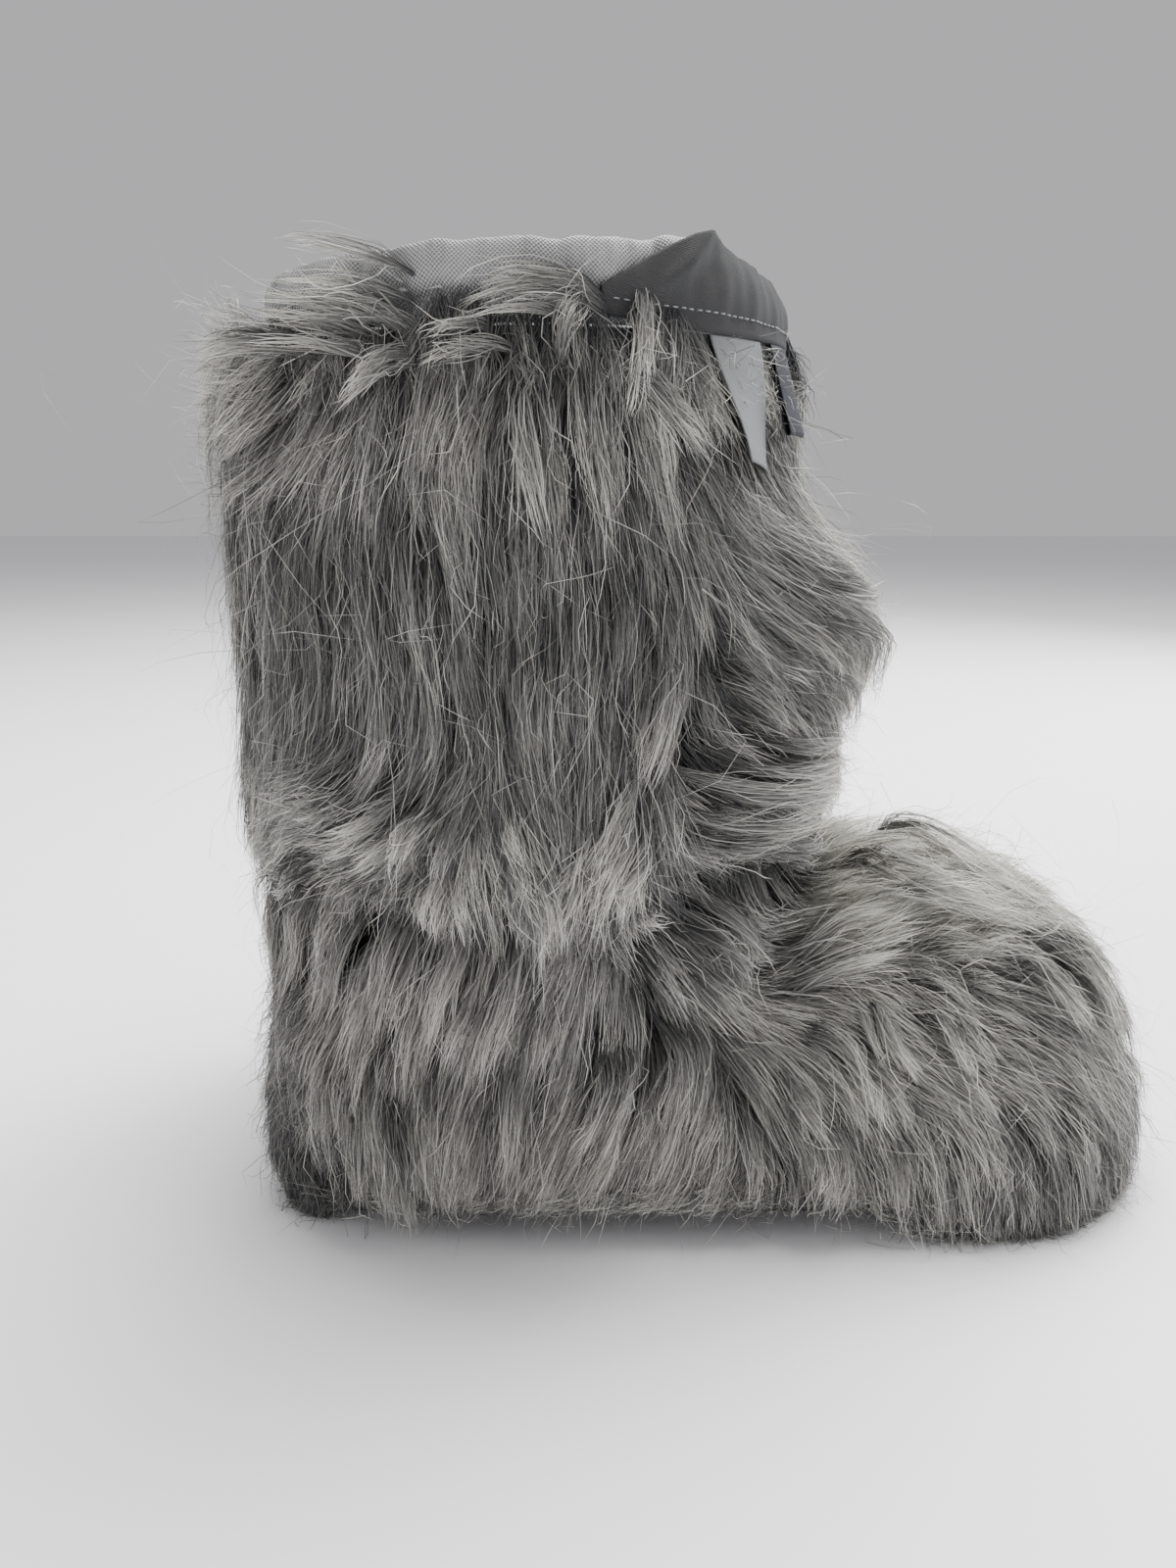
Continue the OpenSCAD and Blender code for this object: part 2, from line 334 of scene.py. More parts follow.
class Waves:
    """Smooth random swells through space, each about -1 to 1."""

    def __init__(self, rng, wavelength, count=5):
        self.k = unit(rng.normal(size=(count, 3))) * (2.0 * math.pi / wavelength)
        self.k *= rng.uniform(0.6, 1.6, size=(count, 1))
        self.phase = rng.uniform(0.0, 2.0 * math.pi, size=count)
        self.scale = 1.0 / math.sqrt(count * 0.5)

    def __call__(self, p):
        return np.sin(p @ self.k.T + self.phase).sum(axis=1) * self.scale * 0.7


# ---------------------------------------------------------------- which way the pile lies
swell_rng = np.random.default_rng(SEED)
broad = [Waves(swell_rng, 90.0) for _ in range(3)]
fine = [Waves(swell_rng, 20.0) for _ in range(3)]

# Strokes that the pile is combed along, seen from the left side, in millimetres. Each has its
# shade (0 dark to 1 pale), how many locks lie along it, where it starts and ends (x and z), and
# how far it bows to its own left. The form gives each point's y.
SHAFT_STROKES = [
    # the ankle's hanging tips
    (0.80, 5, (20, 150), (10, 115), 3),
    (0.80, 5, (0, 145), (10, 110), 0),
    (0.88, 6, (40, 165), (20, 125), -2),
    (0.85, 5, (40, 155), (25, 115), -4),
    # a fan that turns back above the heel
    (0.92, 6, (-25, 155), (-55, 135), 2),
    (0.85, 5, (-20, 155), (-30, 135), -2),
    (0.82, 5, (-45, 155), (-70, 145), 4),
    (0.72, 5, (-70, 135), (-95, 110), 3),
    # sweeps forward over the instep
    (0.85, 6, (40, 160), (105, 140), -2),
    (0.75, 5, (55, 165), (110, 150), -2),
    (0.70, 5, (40, 145), (90, 140), -4),
    (0.72, 5, (65, 135), (120, 110), -2),
    # slanting locks down the shaft's front
    (0.62, 4, (65, 195), (105, 150), 3),
    (0.68, 5, (70, 215), (105, 160), 3),
    (0.75, 6, (75, 220), (130, 195), -3),
    # a pale lock down the middle, and the hook at its foot
    (0.68, 4, (40, 205), (30, 150), 4),
    (0.75, 2, (35, 125), (45, 110), -4),
    # locks that fall from the cuff
    (0.66, 4, (25, 275), (60, 245), 2),
    (0.70, 3, (5, 275), (15, 215), -3),
    (0.80, 3, (5, 275), (-25, 275), -3),
    (0.85, 4, (-25, 275), (-50, 260), -5),
    # tufts that lie over the cuff's hem
    (0.82, 2, (10, 275), (20, 295), 4),
    (0.68, 5, (30, 285), (-20, 285), -7),
    (0.80, 6, (-30, 280), (-70, 290), -4),
    (0.80, 6, (-35, 275), (-80, 285), -2),
    (0.60, 5, (-60, 275), (-90, 270), -4),
    (0.92, 4, (40, 295), (35, 260), 2),
]
FOOT_STROKES = [
    # big arcs over the vamp
    (0.88, 6, (75, 70), (110, 35), 13),
    (0.88, 6, (75, 80), (130, 90), 1),
    (0.78, 5, (75, 85), (130, 95), 3),
    (0.70, 4, (95, 65), (120, 40), 6),
    (0.92, 4, (110, 85), (125, 55), -4),
    # the last lock of the side, in front of the heel
    (0.50, 9, (-45, 65), (-40, 5), 0),
    # low locks at the vamp's foot
    (0.75, 5, (85, 50), (90, 10), 10),
    (0.55, 4, (75, 65), (100, 30), 0),
    # the side below the ankle, and round the hollow
    (0.66, 5, (30, 85), (15, 35), 5),
    (0.66, 5, (45, 85), (45, 40), 7),
    (0.55, 4, (50, 105), (75, 70), 0),
    (0.50, 4, (45, 115), (70, 85), 9),
    # round the toe
    (0.72, 4, (130, 80), (145, 55), 0),
    (0.72, 5, (155, 90), (185, 60), 5),
    (0.78, 5, (165, 95), (200, 60), 9),
    # along the top of the foot
    (0.78, 5, (105, 100), (165, 95), 1),
    (0.72, 5, (105, 110), (150, 100), -3),
    (0.90, 6, (110, 110), (170, 100), 4),
]
STROKE_LAYER = 19.0         # strokes lie this far outside the pile's roots
TOP_STROKES_Z = 250.0       # strokes that start above this turn no other pile
POCKET = np.array((54.0, -88.0, 122.0))      # the hollow where shaft, side and vamp meet: thin pile there, and painted shade on its locks
POCKET_REACH = 18.0
REACH_LOW = (-118.0, -117.0, -20.0)          # past here stray hairs are bent back
REACH_HIGH = (230.0, 117.0, 312.0)
REACH_GIVE = 10.0


def on_left_side(x, z):
    """Points on the outside of the left side's pile, at these x and z."""
    inside, outside = np.zeros_like(x), np.full_like(x, -140.0)
    for _ in range(20):
        y = 0.5 * (inside + outside)
        is_out = form_distance(np.stack([x, y, z], axis=1)) > STROKE_LAYER
        outside = np.where(is_out, y, outside)
        inside = np.where(is_out, inside, y)
    return np.stack([x, outside, z], axis=1)


def stroke_line(start, end, bow, count):
    """A stroke's points on the form: from start to end in the side view, bowed to its left."""
    t = np.linspace(0.0, 1.0, count)
    run = np.subtract(end, start)
    left = np.array((-run[1], run[0])) / np.linalg.norm(run)
    flat = start + run * t[:, None] + left * (bow * 4.0 * t * (1.0 - t))[:, None]
    return on_left_side(flat[:, 0], flat[:, 1])


class Strokes:
    """The pull of strokes on the pile near them, on the left side and mirrored to the right."""

    def __init__(self, strokes, reach=11.0):
        places, pulls = [], []
        for _, _, start, end, bow in strokes:
            line = stroke_line(start, end, bow, 9)
            for mirror in ((1.0, 1.0, 1.0), (1.0, -1.0, 1.0)):
                places.append(line[:-1] * mirror)
                pulls.append(unit(np.diff(line, axis=0)) * mirror)
        self.places = np.concatenate(places)
        self.pulls = np.concatenate(pulls)
        self.reach = reach

    def __call__(self, p, flow):
        """The flow at points, turned towards the strokes."""
        square = ((p ** 2).sum(axis=1)[:, None] + (self.places ** 2).sum(axis=1)[None, :]
                  - 2.0 * p @ self.places.T)
        weight = np.exp(-np.maximum(square - 100.0, 0.0) / self.reach ** 2)
        total = weight.sum(axis=1, keepdims=True)
        pull = weight @ self.pulls / np.maximum(total, 1e-6)
        share = np.clip(total * 0.8, 0.0, 0.85)
        return unit(flow) * (1.0 - share) + pull * share


shaft_strokes = Strokes([stroke for stroke in SHAFT_STROKES if stroke[2][1] < TOP_STROKES_Z])
foot_strokes = Strokes(FOOT_STROKES)


def swells(p, waves, amount):
    return np.stack([w(p) for w in waves], axis=1) * amount


def shaft_comb(p):
    """The shaft's pile hangs, and leans forward as it nears the toe side."""
    x, z = p[:, 0], p[:, 2]
    high = smoothstep(195.0, 235.0, z)
    lean = (0.20 + 0.65 * high) * smoothstep(0.0, 80.0, x) - 0.06 * smoothstep(0.0, -90.0, x)
    flow = np.stack([lean, np.zeros_like(x), -np.ones_like(x)], axis=1)
    flow = shaft_strokes(p, flow)
    return flow + swells(p, broad, 0.14) + swells(p, fine, 0.11)


def top_comb(p):
    """Under the cuff the pile bushes out: back at the heel side, and down elsewhere."""
    x = p[:, 0]
    back = smoothstep(-40.0, -88.0, x)
    lean = 0.25 * smoothstep(0.0, 60.0, x) - 0.9 * back
    flow = np.stack([lean, np.zeros_like(x), 0.95 * back - 1.0], axis=1)
    return flow + swells(p, broad, 0.16) + swells(p, fine, 0.16)


def quarter_comb(p):
    """The foot's sides hang, and lean back a little."""
    x = p[:, 0]
    rear = smoothstep(-22.0, -50.0, x) * smoothstep(85.0, 55.0, p[:, 2])
    flow = np.stack([0.40 * rear - 0.20, np.zeros_like(x), -np.ones_like(x)], axis=1)
    flow = foot_strokes(p, flow)
    return flow + swells(p, broad, 0.13) + swells(p, fine, 0.11)


def heel_comb(p):
    x = p[:, 0]
    flow = np.stack([-0.30 + 0.0 * x, np.zeros_like(x), -np.ones_like(x)], axis=1)
    return flow + swells(p, broad, 0.2) + swells(p, fine, 0.22)


def toe_comb(p):
    """Over vamp and toe the pile runs forward, then turns down round the sides."""
    forward = smoothstep(25.0, 92.0, p[:, 2])
    flow = np.stack([0.15 + forward, 0.0 * forward, -0.25 - 0.95 * (1.0 - forward)], axis=1)
    flow = foot_strokes(p, flow)
    return flow + swells(p, broad, 0.18) + swells(p, fine, 0.14)


# ---------------------------------------------------------------- how thick the pile lies
def shaft_fullness(p):
    """The shaft's pile: thin under the cuff, full lower down, with a flick at the front."""
    z = p[:, 2]
    front = smoothstep(30.0, 75.0, p[:, 0])
    back = smoothstep(-52.0, -88.0, p[:, 0])
    heights = [108.0, 126.0, 140.0, 160.0, 195.0, 217.0, 240.0, 262.0, 281.0, 300.0]
    side = np.interp(z, heights, [16.0, 22.0, 27.0, 26.0, 25.0, 24.0, 21.0, 13.0, 8.0, 7.0])
    at_front = np.interp(z, heights, [12.0, 22.0, 29.0, 27.0, 42.0, 26.0, 9.0, 3.5, 0.4, 0.3])
    at_back = np.interp(z, heights, [14.0, 19.0, 20.0, 19.0, 19.0, 20.0, 22.0, 24.0, 26.0, 30.0])
    return side * (1.0 - front - back) + at_front * front + at_back * back


def pocket(p):
    """1 in the hollow and 0 away from it, on both sides: it thins the pile there and marks where shade
    is painted on its locks.
    """
    away = np.stack([p[:, 0], -np.abs(p[:, 1]), p[:, 2]], axis=1) - POCKET
    return np.exp(-(away ** 2).sum(axis=1) / POCKET_REACH ** 2)


def heel_recess(p):
    """1 over the lower heel, which is set back behind the sides' last locks, and 0 elsewhere."""
    edge = -46.0 - 0.42 * p[:, 2]
    return smoothstep(0.0, 15.0, edge - p[:, 0]) * smoothstep(100.0, 75.0, p[:, 2])


def foot_fullness(p):
    """The foot's pile: even, deeper over the instep, and thin in the hollow and at the ankle."""
    instep = np.exp(-((p[:, 0] - 130.0) / 40.0) ** 2) * smoothstep(78.0, 102.0, p[:, 2])
    heel = 0.72 * heel_recess(p)
    ankle = 0.35 * smoothstep(104.0, 122.0, p[:, 2]) * smoothstep(95.0, 80.0, np.abs(p[:, 0]))
    return (20.0 + 11.0 * instep) * (1.0 - 0.8 * pocket(p)) * (1.0 - ankle) * (1.0 - heel)


# ---------------------------------------------------------------- growing the pile
def even_pairs(count, rng):
    """Evenly scattered pairs of numbers from 0 to 1."""
    golden = 1.32471795724
    steps = np.arange(count)[:, None] * np.array([1.0 / golden, 1.0 / golden ** 2])
    jitter = rng.uniform(-0.25, 0.25, (count, 2)) / math.sqrt(count)
    return (rng.uniform(size=2) + steps + jitter) % 1.0


def undercut(p):
    """1 along the waist of the sole, where the pile ends clear of the floor, and 0 at the ends."""
    return smoothstep(150.0, 95.0, p[:, 0]) * smoothstep(-72.0, -48.0, p[:, 0])


def heel_rise(p):
    """How far the heel's pile ends above the floor, more towards the rear."""
    return 26.0 * smoothstep(-70.0, -106.0, p[:, 0])


def trace(roots, comb, fullness, length, share, lift, rise=0.0, steps=13):
    """Paths of locks: out from the root, then along the form at each lock's own layer."""
    p = roots.copy()
    paths = [p.copy()]
    step = (length / steps)[:, None]
    hem = 1.5 + (6.0 + 11.0 * share) * undercut(p) + heel_rise(p)
    course = unit(form_normal(p) * lift[:, None] + unit(comb(p)) * 0.6 + np.array((0.0, 0.0, rise)))
    for k in range(steps):
        t = (k + 1.0) / steps
        normal = form_normal(p)
        flow = comb(p)
        flow -= normal * (flow * normal).sum(axis=1, keepdims=True)
        target = share * fullness(p) * (1.0 - math.exp(-3.2 * t))
        climb = np.clip((target - form_distance(p)) / step[:, 0], -0.7, 0.9)[:, None]
        wanted = unit(flow) * np.sqrt(1.0 - climb ** 2) + normal * climb
        course = unit(course * 0.45 + wanted * 0.55)
        p = p + course * step
        p[:, 2] = np.maximum(p[:, 2], hem)
        paths.append(p.copy())
    return np.stack(paths, axis=1)


def along(paths, t):
    """Points at shares t of each path, one row of t for each path."""
    steps = paths.shape[1] - 1
    place = np.clip(t, 0.0, 1.0) * steps
    low = np.minimum(place.astype(int), steps - 1)
    part = (place - low)[..., None]
    row = np.arange(len(paths))[:, None]
    return paths[row, low] * (1.0 - part) + paths[row, low + 1] * part


def within_reach(path):
    """Hairs that stray too far out, bent back smoothly."""
    kept = np.clip(path, REACH_LOW, REACH_HIGH)
    return kept + REACH_GIVE * np.tanh((path - kept) / REACH_GIVE)


def strands(guides, per_lock, rng, spread, tightness, frizz, shade, segments, spindle):
    """Strands gathered into each lock: points, side directions and shades."""
    owner = np.repeat(np.arange(len(guides)), per_lock)
    count = len(owner)
    stray = rng.uniform(size=count) < 0.11
    normal = form_normal(guides[:, 0])[owner]
    offset = rng.normal(size=(count, 3))
    offset -= normal * (offset * normal).sum(axis=1, keepdims=True)
    offset = unit(offset) * (spread * np.sqrt(rng.uniform(size=count)))[:, None]
    t = np.linspace(0.0, 1.0, segments + 1)[None, :]
    reach = rng.uniform(0.55, 1.0, count)[:, None] ** 0.8
    path = along(guides[owner], t * reach)
    lock_hold = rng.uniform(0.55, 1.1, len(guides))[owner] * tightness
    hold = np.where(stray, 0.1, lock_hold * rng.uniform(0.8, 1.05, count))[:, None]
    gather = 1.0 - np.clip(hold, 0.0, 0.95) * np.power(t, 0.75)
    gather = gather * (1.0 - spindle * (1.0 - smoothstep(0.0, 0.4, t)))
    path = path + offset[:, None, :] * gather[..., None]
    wild = frizz * np.where(stray, 3.6, rng.uniform(0.4, 1.5, count))
    axis = rng.normal(size=(2, count, 3))
    turns = rng.uniform(0.4, 1.5, (2, count, 1))
    phase = rng.uniform(0.0, 2.0 * math.pi, (2, count, 1))
    for a, f, q in zip(axis, turns, phase):
        bend = (np.sin(2.0 * math.pi * f * t + q) - np.sin(q)) * t
        path = path + a[:, None, :] * (wild[:, None] * bend)[..., None]
    path[..., 2] = np.maximum(path[..., 2], 0.4)
    path = within_reach(path)
    shades = np.clip(shade[owner] + rng.normal(0.0, 0.2, count) + 0.25 * stray, 0.01, 0.99)
    roll = rng.normal(0.0, 0.6, count)
    tangent = unit(np.gradient(path, axis=1))
    side = unit(np.cross(tangent, normal[:, None, :]))
    up = np.cross(side, tangent)
    side = side * np.cos(roll)[:, None, None] + up * np.sin(roll)[:, None, None]
    return path, side, shades


def ribbon_mesh(name, path, side, shades, width):
    """One mesh of tapered ribbons, with a UV map of shade across and length along."""
    count, rings, _ = path.shape
    segments = rings - 1
    t = np.linspace(0.0, 1.0, rings)
    thick = 0.35 + 0.65 * np.minimum(t / 0.25, 1.0) + 0.2 * t
    taper = thick * np.sqrt(np.clip(1.0 - t ** 3, 0.0, 1.0))
    half = side * (width[:, None] * 0.5 * taper[None, :])[..., None]
    left, right = path - half, path + half
    body = np.stack([left[:, :-1], right[:, :-1]], axis=2).reshape(count, 2 * segments, 3)
    points = np.concatenate([body, path[:, -1:]], axis=1)
    per = 2 * segments + 1
    quads = [(2 * k, 2 * k + 1, 2 * k + 3, 2 * k + 2) for k in range(segments - 1)]
    tip = (per - 3, per - 2, per - 1)
    corners = np.array([c for quad in quads for c in quad] + list(tip))
    loops = (np.arange(count)[:, None] * per + corners[None, :]).ravel()
    sizes = np.tile([4] * len(quads) + [3], count)
    starts = np.concatenate([[0], np.cumsum(sizes)[:-1]])
    mesh = bpy.data.meshes.new(name)
    mesh.vertices.add(count * per)
    mesh.vertices.foreach_set("co", (points * MM).astype(np.float32).ravel())
    mesh.loops.add(len(loops))
    mesh.loops.foreach_set("vertex_index", loops.astype(np.int32))
    mesh.polygons.add(len(sizes))
    mesh.polygons.foreach_set("loop_start", starts.astype(np.int32))
    texel = 1.0 / 512.0
    v = np.concatenate([np.repeat(t[:-1], 2), [1.0]])
    u = np.concatenate([np.tile([-texel, texel], segments), [0.0]])
    corner_u = np.clip(shades[:, None] + u[corners][None, :], 0.0, 1.0)
    corner_v = np.broadcast_to(v[corners][None, :] * 0.998 + 0.001, corner_u.shape)
    uv = np.stack([corner_u, corner_v], axis=2)
    mesh.uv_layers.new(name="OFBake").data.foreach_set("uv", uv.astype(np.float32).ravel())
    mesh.update()
    mesh.validate()
    return mesh


DENSITY = 1.0
PAINTED_DEPTH_SHADE = 0.56       # painted shade: how much darker a lock is coloured as it lies deeper in the pile, and paler on its top layer
MOST_STRANDS = 14000


def add_locks(name, nodes, guides, rng, shade, per_lock=42, spread=5.2, tightness=0.52,
              frizz=0.8, width=0.22, segments=5, spindle=0.0):
    """Strands round these guides, in as many pieces as keep each one light."""
    share = MOST_STRANDS // per_lock
    made = []
    for number, start in enumerate(range(0, len(guides), share)):
        batch = guides[start:start + share]
        path, side, shades = strands(
            batch, per_lock, rng, spread, tightness, frizz, shade[start:start + share],
            segments, spindle
        )
        widths = width * rng.uniform(0.6, 1.3, len(path))
        piece = add_object(
            f"{name}_pile_{number}",
            ribbon_mesh(f"{name}_pile_{number}", path, side, shades, widths),
        )
        piece.data.materials.append(FUR)
        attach(piece, "cover")
        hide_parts(*nodes)
        made.append(piece)
    return made


def grow(name, node, roots, comb, fullness, rng, length, shade, lift=0.9, low=0.12, rise=0.0, **look):
    """Pile for one panel, from its roots."""
    share = rng.uniform(low, 1.0, len(roots)) ** 0.7
    guides = trace(
        roots, comb, fullness,
        length * rng.uniform(0.6, 1.22, len(roots)),
        share,
        lift * rng.uniform(0.6, 1.3, len(roots)),
        rise,
    )
    # Painted shade within the pile: locks that lie deeper are coloured darker and the top layer paler.
    return add_locks(name, [node], guides, rng, shade + PAINTED_DEPTH_SHADE * (share - 0.65), **look)


def comb_locks(name, nodes, strokes, fullness, rng):
    """Paler locks that lie on top along the strokes."""
    guides, shades = [], []
    for shade, locks, first, last, bow in strokes:
        line = stroke_line(first, last, bow, 14)
        for _ in range(max(2, round(locks * DENSITY))):
            shift = rng.normal(0.0, 3.2, 3) * (1.0, 0.4, 1.0)
            bend = rng.normal(0.0, 1.5, 3) * (1.0, 0.3, 1.0)
            t = np.linspace(0.0, 1.0, len(line))
            start = rng.uniform(0.0, 0.18)
            path = along(line[None], (start + t * rng.uniform(0.8, 1.0) * (1.0 - start))[None])[0]
            path = path + shift + bend * (t ** 2)[:, None]
            layer = fullness(path) * rng.uniform(0.8, 1.08) * (0.25 + 0.75 * smoothstep(0.0, 0.3, t))
            for _ in range(2):
                away = layer - form_distance(path)
                path = path + form_normal(path) * (away * (path[:, 2] < 300.0))[:, None]
            guides.append(path)
            shades.append(shade + rng.normal(0.0, 0.06))
    return add_locks(name, nodes, np.array(guides), rng, np.array(shades), per_lock=30,
                     spread=2.4, tightness=0.45, frizz=0.8, width=0.26, segments=7, spindle=0.75)


def shaft_roots(count, rng, low, high, turn_from, turn_to):
    """Roots on the shaft between two heights and two angles."""
    pair = even_pairs(count, rng)
    turn = np.radians(turn_from + (turn_to - turn_from) * pair[:, 0])
    z = low + (high - low) * pair[:, 1]
    flat = np.stack([np.cos(turn) * SHAFT_ROOT_R, np.sin(turn) * SHAFT_ROOT_R, z], axis=1)
    return on_form(flat)


def foot_roots(count, rng, x_from, x_to):
    """Roots on the foot between two places along it, from floor to floor over the top."""
    pair = even_pairs(count, rng)
    x = x_from + (x_to - x_from) * pair[:, 0]
    turn = np.radians(-16.0 + 212.0 * pair[:, 1])
    reach = FOOT_R - ROOT_DEPTH
    flat = np.stack([x, -np.cos(turn) * reach, FOOT_AXIS_Z + np.sin(turn) * reach], axis=1)
    p = on_form(flat)
    return p[(p[:, 2] > 5.0 + 9.0 * undercut(p)) & (p[:, 2] < ANKLE_Z + 6.0)]


def heel_back_roots(count, rng):
    """Roots over the rear of the heel."""
    pair = even_pairs(count, rng)
    turn = np.radians(100.0 + 160.0 * pair[:, 0])
    z = 22.0 + 68.0 * pair[:, 1]
    middle = HEEL_X + HEEL_ROUND + 12.0
    flat = np.stack([middle + np.cos(turn) * 60.0, np.sin(turn) * 60.0, z], axis=1)
    return on_form(flat)


def toe_roots(count, rng):
    """Roots over the toe's dome."""
    pair = even_pairs(count, rng)
    rise = np.arccos(1.0 - pair[:, 0])
    turn = np.radians(-200.0 + 220.0 * pair[:, 1])
    reach = TOE_ROUND - ROOT_DEPTH
    x = TOE_X - TOE_ROUND + np.cos(rise) * reach
    ring = (FOOT_R - TOE_ROUND) + np.sin(rise) * reach
    flat = np.stack([x, np.cos(turn) * ring, FOOT_AXIS_Z - np.sin(turn) * ring], axis=1)
    p = on_form(flat)
    return p[p[:, 2] > 4.0]


def lock_shade(roots, rng, middle=0.5, vary=0.19):
    """Each lock's shade: broad patches and some locks much paler or darker, with painted light and
    shade: paler over the shaft's sides, its toe side and the foot's top, darker in the hollow, near the
    floor and over the recessed heel.
    """
    patches = Waves(np.random.default_rng(SEED + 5), 60.0)(roots)
    high = roots[:, 2] > ANKLE_Z
    # Painted light: above the ankle the shaft's locks are paler towards its sides, and much paler
    # towards the toe side, where the light falls on them.
    middle = middle + 0.16 * smoothstep(20.0, 85.0, np.abs(roots[:, 0])) * high
    middle = middle + 0.60 * smoothstep(45.0, 82.0, roots[:, 0]) * high
    # Painted light: locks high on the foot forward of the ankle, over the vamp and toe, are much paler,
    # where the light from above falls on them.
    middle = middle + 0.95 * smoothstep(72.0, 98.0, roots[:, 2]) * (roots[:, 0] > 80.0)
    # Painted shade: locks in the hollow where shaft, side and vamp meet are darkened by the pocket term;
    # the broad patches and the random spread are the locks' own colour.
    shade = middle + 0.08 * patches + rng.normal(0.0, vary, len(roots)) - 1.0 * pocket(roots)
    # Painted shade: locks rooted near the floor are darker.
    shade = shade - 0.5 * smoothstep(36.0, 10.0, roots[:, 2])
    # Painted shade: locks over the recessed lower heel are darker.
    shade = shade - 0.5 * heel_recess(roots)
    return np.clip(shade, 0.02, 0.98)


def grow_wisps(node, sign, rng):
    """Loose wisps that stand off the shaft's back, under the cuff."""
    count = int(90 * max(DENSITY, 0.5))
    turn = np.radians(180.0 - sign * rng.uniform(0.0, 36.0, count))
    z = rng.uniform(232.0, 288.0, count)
    roots = np.stack([np.cos(turn) * SHAFT_ROOT_R, np.sin(turn) * SHAFT_ROOT_R, z], axis=1)
    out = unit(roots * (1.0, 1.0, 0.0))
    away = unit(out + rng.normal(0.0, 0.25, (count, 3)) + np.array((-0.3, 0.0, 0.35)))
    long = rng.uniform(20.0, 34.0, count)[:, None, None]
    t = np.linspace(0.0, 1.0, 14)[None, :, None]
    droop = rng.uniform(-2.0, 9.0, count)[:, None, None] * np.array((0.0, 0.0, -1.0))
    guides = roots[:, None, :] + away[:, None, :] * long * t + droop * t ** 2
    return add_locks(node + "_wisps", [node], guides, rng, rng.uniform(0.6, 0.95, count),
                     per_lock=12, spread=5.0, tightness=0.2, frizz=1.3, width=0.16, segments=7)


def grow_flyaways(node, roots, comb, fullness, rng):
    """Long single hairs that have come loose and cross the pile's top layer."""
    return grow(node + "_flyaways", node, roots, comb, lambda p: 1.12 * fullness(p), rng, 58.0,
                rng.uniform(0.6, 0.9, len(roots)), low=0.85, per_lock=8, spread=10.0,
                tightness=0.0, frizz=2.6, width=0.15, segments=8)


def grow_collar(node, turn_from, turn_to, rng):
    """Short uneven tufts that lie over the cuff's hem, clear of the two tabs."""
    count = int(330 * DENSITY)
    turn = rng.uniform(turn_from, turn_to, count)
    clear = np.abs(turn_gap(turn, TABS_TURN)) > 24.0
    turn = np.radians(turn[clear])
    count = len(turn)
    uneven = 3.0 * np.sin(turn * 7.0 + 0.6) + 2.0 * np.sin(turn * 17.0)
    high = 283.0 + uneven + rng.uniform(-3.0, 3.0, count)
    start = np.stack([np.cos(turn) * COLLAR_R, np.sin(turn) * COLLAR_R, high], axis=1)
    out = unit(start * (1.0, 1.0, 0.0))
    aside = np.cross(np.array((0.0, 0.0, 1.0)), out) * rng.normal(0.0, 0.35, count)[:, None]
    long = rng.uniform(14.0, 38.0, count)[:, None, None]
    puff = rng.uniform(1.5, 6.0, count)[:, None, None]
    t = np.linspace(0.0, 1.0, 14)[None, :, None]
    fall = (aside + np.array((0.0, 0.0, -1.0)))[:, None, :] * long * t
    guides = start[:, None, :] + out[:, None, :] * puff * np.sin(t * 2.2) + fall
    shade = np.clip(0.42 + 0.2 * np.sin(turn * 5.0) + rng.normal(0.0, 0.16, count), 0.05, 0.95)
    return add_locks(node + "_collar", [node], guides, rng, shade, per_lock=30, spread=4.0,
                     tightness=0.5)


